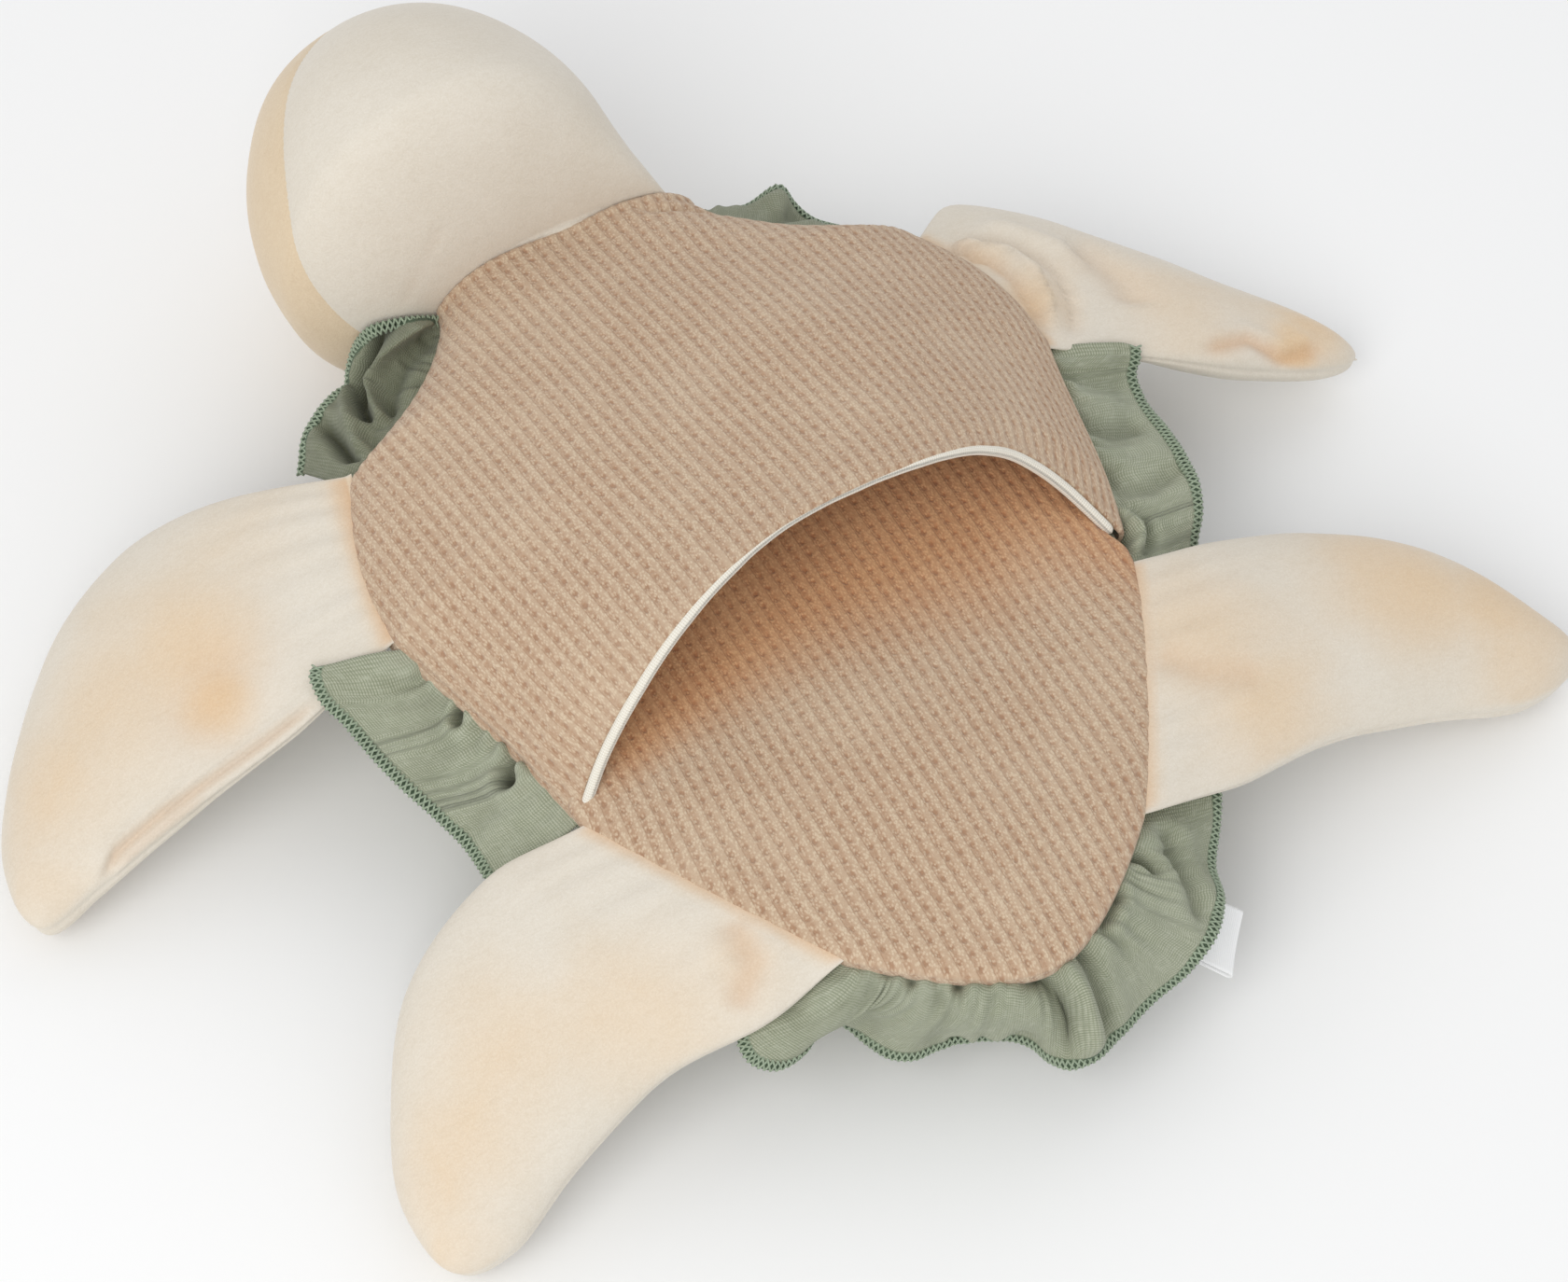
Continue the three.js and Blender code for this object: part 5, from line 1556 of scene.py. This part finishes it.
def buildRuffle(name, seed):
    line, length = resample(seamStretch(name), 400)
    free = np.array(freeEdges[name])
    run = runAlong(free[:, 1:])
    columns = int(max(run[-1], length) / ruffle["step"])
    at = np.linspace(0, 1, columns)
    share = lerp(np.interp(at, run / run[-1], free[:, 0]), at, 0.35)
    tip = splinePoints(run / run[-1], free[:, 1:], at)
    place = lerp(ruffle["endGap"] / length, 1 - ruffle["endGap"] / length, share)
    base = traced(place * length, np.linspace(0, length, len(line)), line)
    tangent = unit(np.gradient(base, axis=0))
    outward = np.stack([-tangent[:, 1], tangent[:, 0]], -1) * (-1 if name.endswith("right") else 1)
    base3 = np.column_stack([base - outward * ruffle["inset"], np.full(columns, ruffle["seamZ"])])
    leave = math.radians(ruffle["leave"])
    start = np.column_stack([outward * math.cos(leave), np.full(columns, -math.sin(leave))])
    chord = tip - base3
    span = np.linalg.norm(chord, axis=1, keepdims=True)
    down = np.linspace(0, 1, ruffle["rows"])
    t = down[:, None, None]
    grid = ((1 - t) ** 3 * base3 + 3 * t * (1 - t) ** 2 * (base3 + start * span * 0.45)
            + 3 * t ** 2 * (1 - t) * (tip - unit(chord) * span * 0.3) + t ** 3 * tip)
    flatU = at * run[-1]
    # the strip's ends follow their own lines
    for which, ending in enumerate(stripEnds.get(name, (None, None))):
        if ending is not None:
            endRun = runAlong(ending)
            wanted = splinePoints(endRun / endRun[-1], np.array(ending, float), down)
            away = flatU if which == 0 else flatU[-1] - flatU
            hold = (1 - smooth(away / ruffle["endReach"])) ** 1.5
            grid = grid + (wanted - grid[:, -which])[:, None] * hold[None, :, None]
    normal = upwards(gridNormals(grid))
    phase = 2 * np.pi * (flatU / ruffle["gatherPitch"] + softNoise(flatU[:, None], 14, seed) * 0.9)
    gather = np.sin(phase) * 0.6 + 0.4 * np.sin(phase * 0.53 + 1.7)
    gatherFade = smooth(down / 0.12) * (1 - smooth((down - 0.25) / 0.55))
    rise = gather[None] * ruffle["gatherDepth"] * gatherFade[:, None]
    wide = softNoise(np.stack(np.broadcast_arrays(flatU[None] / 15, down[:, None] * 1.3), -1), 1, seed + 5)
    wideFade = smooth((down - 0.1) / 0.5) * (1 - smooth((down - 0.9) / 0.1) * 0.6)
    rise = rise + wide * ruffle["foldDepth"] * wideFade[:, None]
    rise = rise + tuckField((place * length)[None], runDown(grid), length, seed)
    inner = (smooth(down / 0.05) * (1 - 0.95 * smooth((down - 0.7) / 0.3)))[:, None]
    gathered = rise * 0
    for fold, width, height in stripFolds[name]:
        distance, _ = strokeDistance(grid[..., :2], fold)
        bump = bell(distance, width) - 0.4 * bell(distance - 2.2 * width, 1.2 * width)
        gathered = gathered + height * inner * bump
    rise = rise + gathered
    nearEnd = smooth(np.minimum(flatU, flatU[-1] - flatU) / 6)[None]
    grid = grid + normal * (rise * nearEnd)[..., None]
    lengths = runDown(grid)
    edge = 1 - smooth((lengths[-1:] - lengths - ruffle["edgeBand"] + 0.4) / 0.5)
    uv = np.stack([np.broadcast_to(flatU, lengths.shape), lengths], -1)
    # painted shade: darker in the folds, and over whole strips by the ruffle's shade value
    paintedFoldShade = clampUnit(-gathered / 5) * 0.55 + ruffle["shade"].get(name, 0)
    piece = gridMesh("ruffle_" + name + "_strip", grid, uv, {"edge": edge, "paintedFoldShade": paintedFoldShade})
    faceUp(piece, 3)
    thicken(piece, ruffle["thickness"], 0)
    dress(piece, finishes["poplin"], "body")
    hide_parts("ruffle_" + name)
    # overlock stitches round the free edge
    edgeLine, edgeLength = resample(grid[-1], int(run[-1] / ruffle["stitchPitch"]))
    steps = np.linspace(0, 1, len(edgeLine))
    upward, inside = (traced(steps, at, part) for part in (gridNormals(grid)[-1], grid[-4]))
    outwards = np.cross(unit(upward), unit(np.gradient(edgeLine, axis=0)))
    outwards = outwards * np.sign(((edgeLine - inside) * outwards).sum(-1).mean())
    placed = pointCloud("ruffle_" + name + "_overlock", edgeLine + outwards * edging["out"],
                        np.cross(outwards, upward), upward)
    stitched(placed, overlock, {"Reach": edging["reach"] * mm, "Lift": edging["lift"] * mm,
                                "Thread": edging["thread"] * mm,
                                "Lean": ruffle["stitchPitch"] * edging["lean"] * mm,
                                "Thread Finish": finishes["overlock"]})
    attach(placed, "body")


for number, stripName in enumerate(freeEdges):
    buildRuffle(stripName, 60 + number * 7)
print("ruffle made")


# blank ribbon loop under the tail's ruffle
ribbon = dict(width=20, reach=38, point=(33.4, -107.1, 40), heading=-40, slope=30, half=0.9, thickness=0.35,
              steps=34, turnSteps=9, columns=24, curl=0.5, wave=0.35)


def buildRibbon():
    heading, slope = math.radians(ribbon["heading"]), math.radians(ribbon["slope"])
    out = np.array([math.cos(heading) * math.cos(slope), math.sin(heading) * math.cos(slope),
                    -math.sin(slope)])
    across = np.array([-math.sin(heading), math.cos(heading), 0])
    up = np.cross(out, across)
    half, reach = ribbon["half"], ribbon["reach"] - ribbon["half"]
    turn = np.linspace(-math.pi / 2, math.pi / 2, ribbon["turnSteps"])[1:-1]
    profile = np.array([*((t, -half) for t in np.linspace(0, reach, ribbon["steps"])),
                        *((reach + half * math.cos(a), half * math.sin(a)) for a in turn),
                        *((t, half) for t in np.linspace(reach, 0, ribbon["steps"]))])
    far, height = profile[:, :1], profile[:, 1:]
    width = np.linspace(-1, 1, ribbon["columns"])[None]
    curl = ribbon["curl"] * (width ** 2) * (far / ribbon["reach"]) ** 2
    wave = ribbon["wave"] * np.sin(far / 7 + width * 1.4) * (far / ribbon["reach"])
    side = across * width[..., None] * ribbon["width"] / 2
    grid = np.array(ribbon["point"]) + (far * out)[:, None] + side + (height + curl + wave)[..., None] * up
    run = runAlong(profile)
    uv = np.stack(np.broadcast_arrays(width * ribbon["width"] / 2, run[:, None]), -1)
    piece = gridMesh("side_ribbon_satin", grid, uv)
    thicken(piece, ribbon["thickness"], 0)
    dress(piece, finishes["satin"], "body")
    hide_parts("side_ribbon_loop")


buildRibbon()
print("ribbon made")


# floor, light and camera
stage = dict(size=6.0, below=0.0002, world=(0.97, 0.98, 1, 1), worldPower=0.72, aim=(0, 0, 0.05),
             lamps=(("key", (-1.0, -0.75, 1.3), 1.3, 14, (1, 0.99, 0.97)),
                    ("fill", (1.1, 0.9, 1.3), 1.6, 3, (0.97, 0.985, 1))))


def buildStage():
    mesh = bpy.data.meshes.new("floor")
    size = stage["size"]
    mesh.from_pydata([(-size, -size, 0), (size, -size, 0), (size, size, 0), (-size, size, 0)], [],
                     [(0, 1, 2, 3)])
    floor = linked("floor", mesh)
    floor.location.z = -stage["below"]
    made = ClothMaterial("pale_floor", {"Roughness": 0.9, "Specular IOR Level": 0.05,
                                        "Base Color": (0.93, 0.93, 0.925, 1)})
    floor.data.materials.append(made.material)
    scene.world = bpy.data.worlds.new("studio")
    scene.world.use_nodes = True
    light = scene.world.node_tree.nodes["Background"].inputs
    light[0].default_value, light[1].default_value = stage["world"], stage["worldPower"]
    for name, place, size, power, colour in stage["lamps"]:
        lamp = bpy.data.lights.new(name, "AREA")
        lamp.size, lamp.energy, lamp.color = size, power, colour
        lampObject = linked(name, lamp)
        lampObject.location = place
        lampObject.rotation_euler = (Vector(stage["aim"]) - Vector(place)).to_track_quat("-Z", "Y").to_euler()


def placeCamera():
    lens = bpy.data.cameras.new("camera")
    lens.lens = view["lens"]
    lens.sensor_width = view["sensor"]
    lens.sensor_fit = "HORIZONTAL"
    lens.clip_end = view["clipEnd"]
    camera = linked("camera", lens)
    a, e = math.radians(view["azimuth"]), math.radians(view["elevation"])
    back = Vector((math.sin(a) * math.cos(e), -math.cos(a) * math.cos(e), math.sin(e)))
    camera.location = Vector(view["target"]) * mm + back * view["distance"] * mm
    camera.rotation_euler = (-back).to_track_quat("-Z", "Y").to_euler()
    scene.camera = camera


buildStage()
placeCamera()
scene.view_settings.view_transform = "Standard"
bpy.context.view_layer.update()
print("scene made")
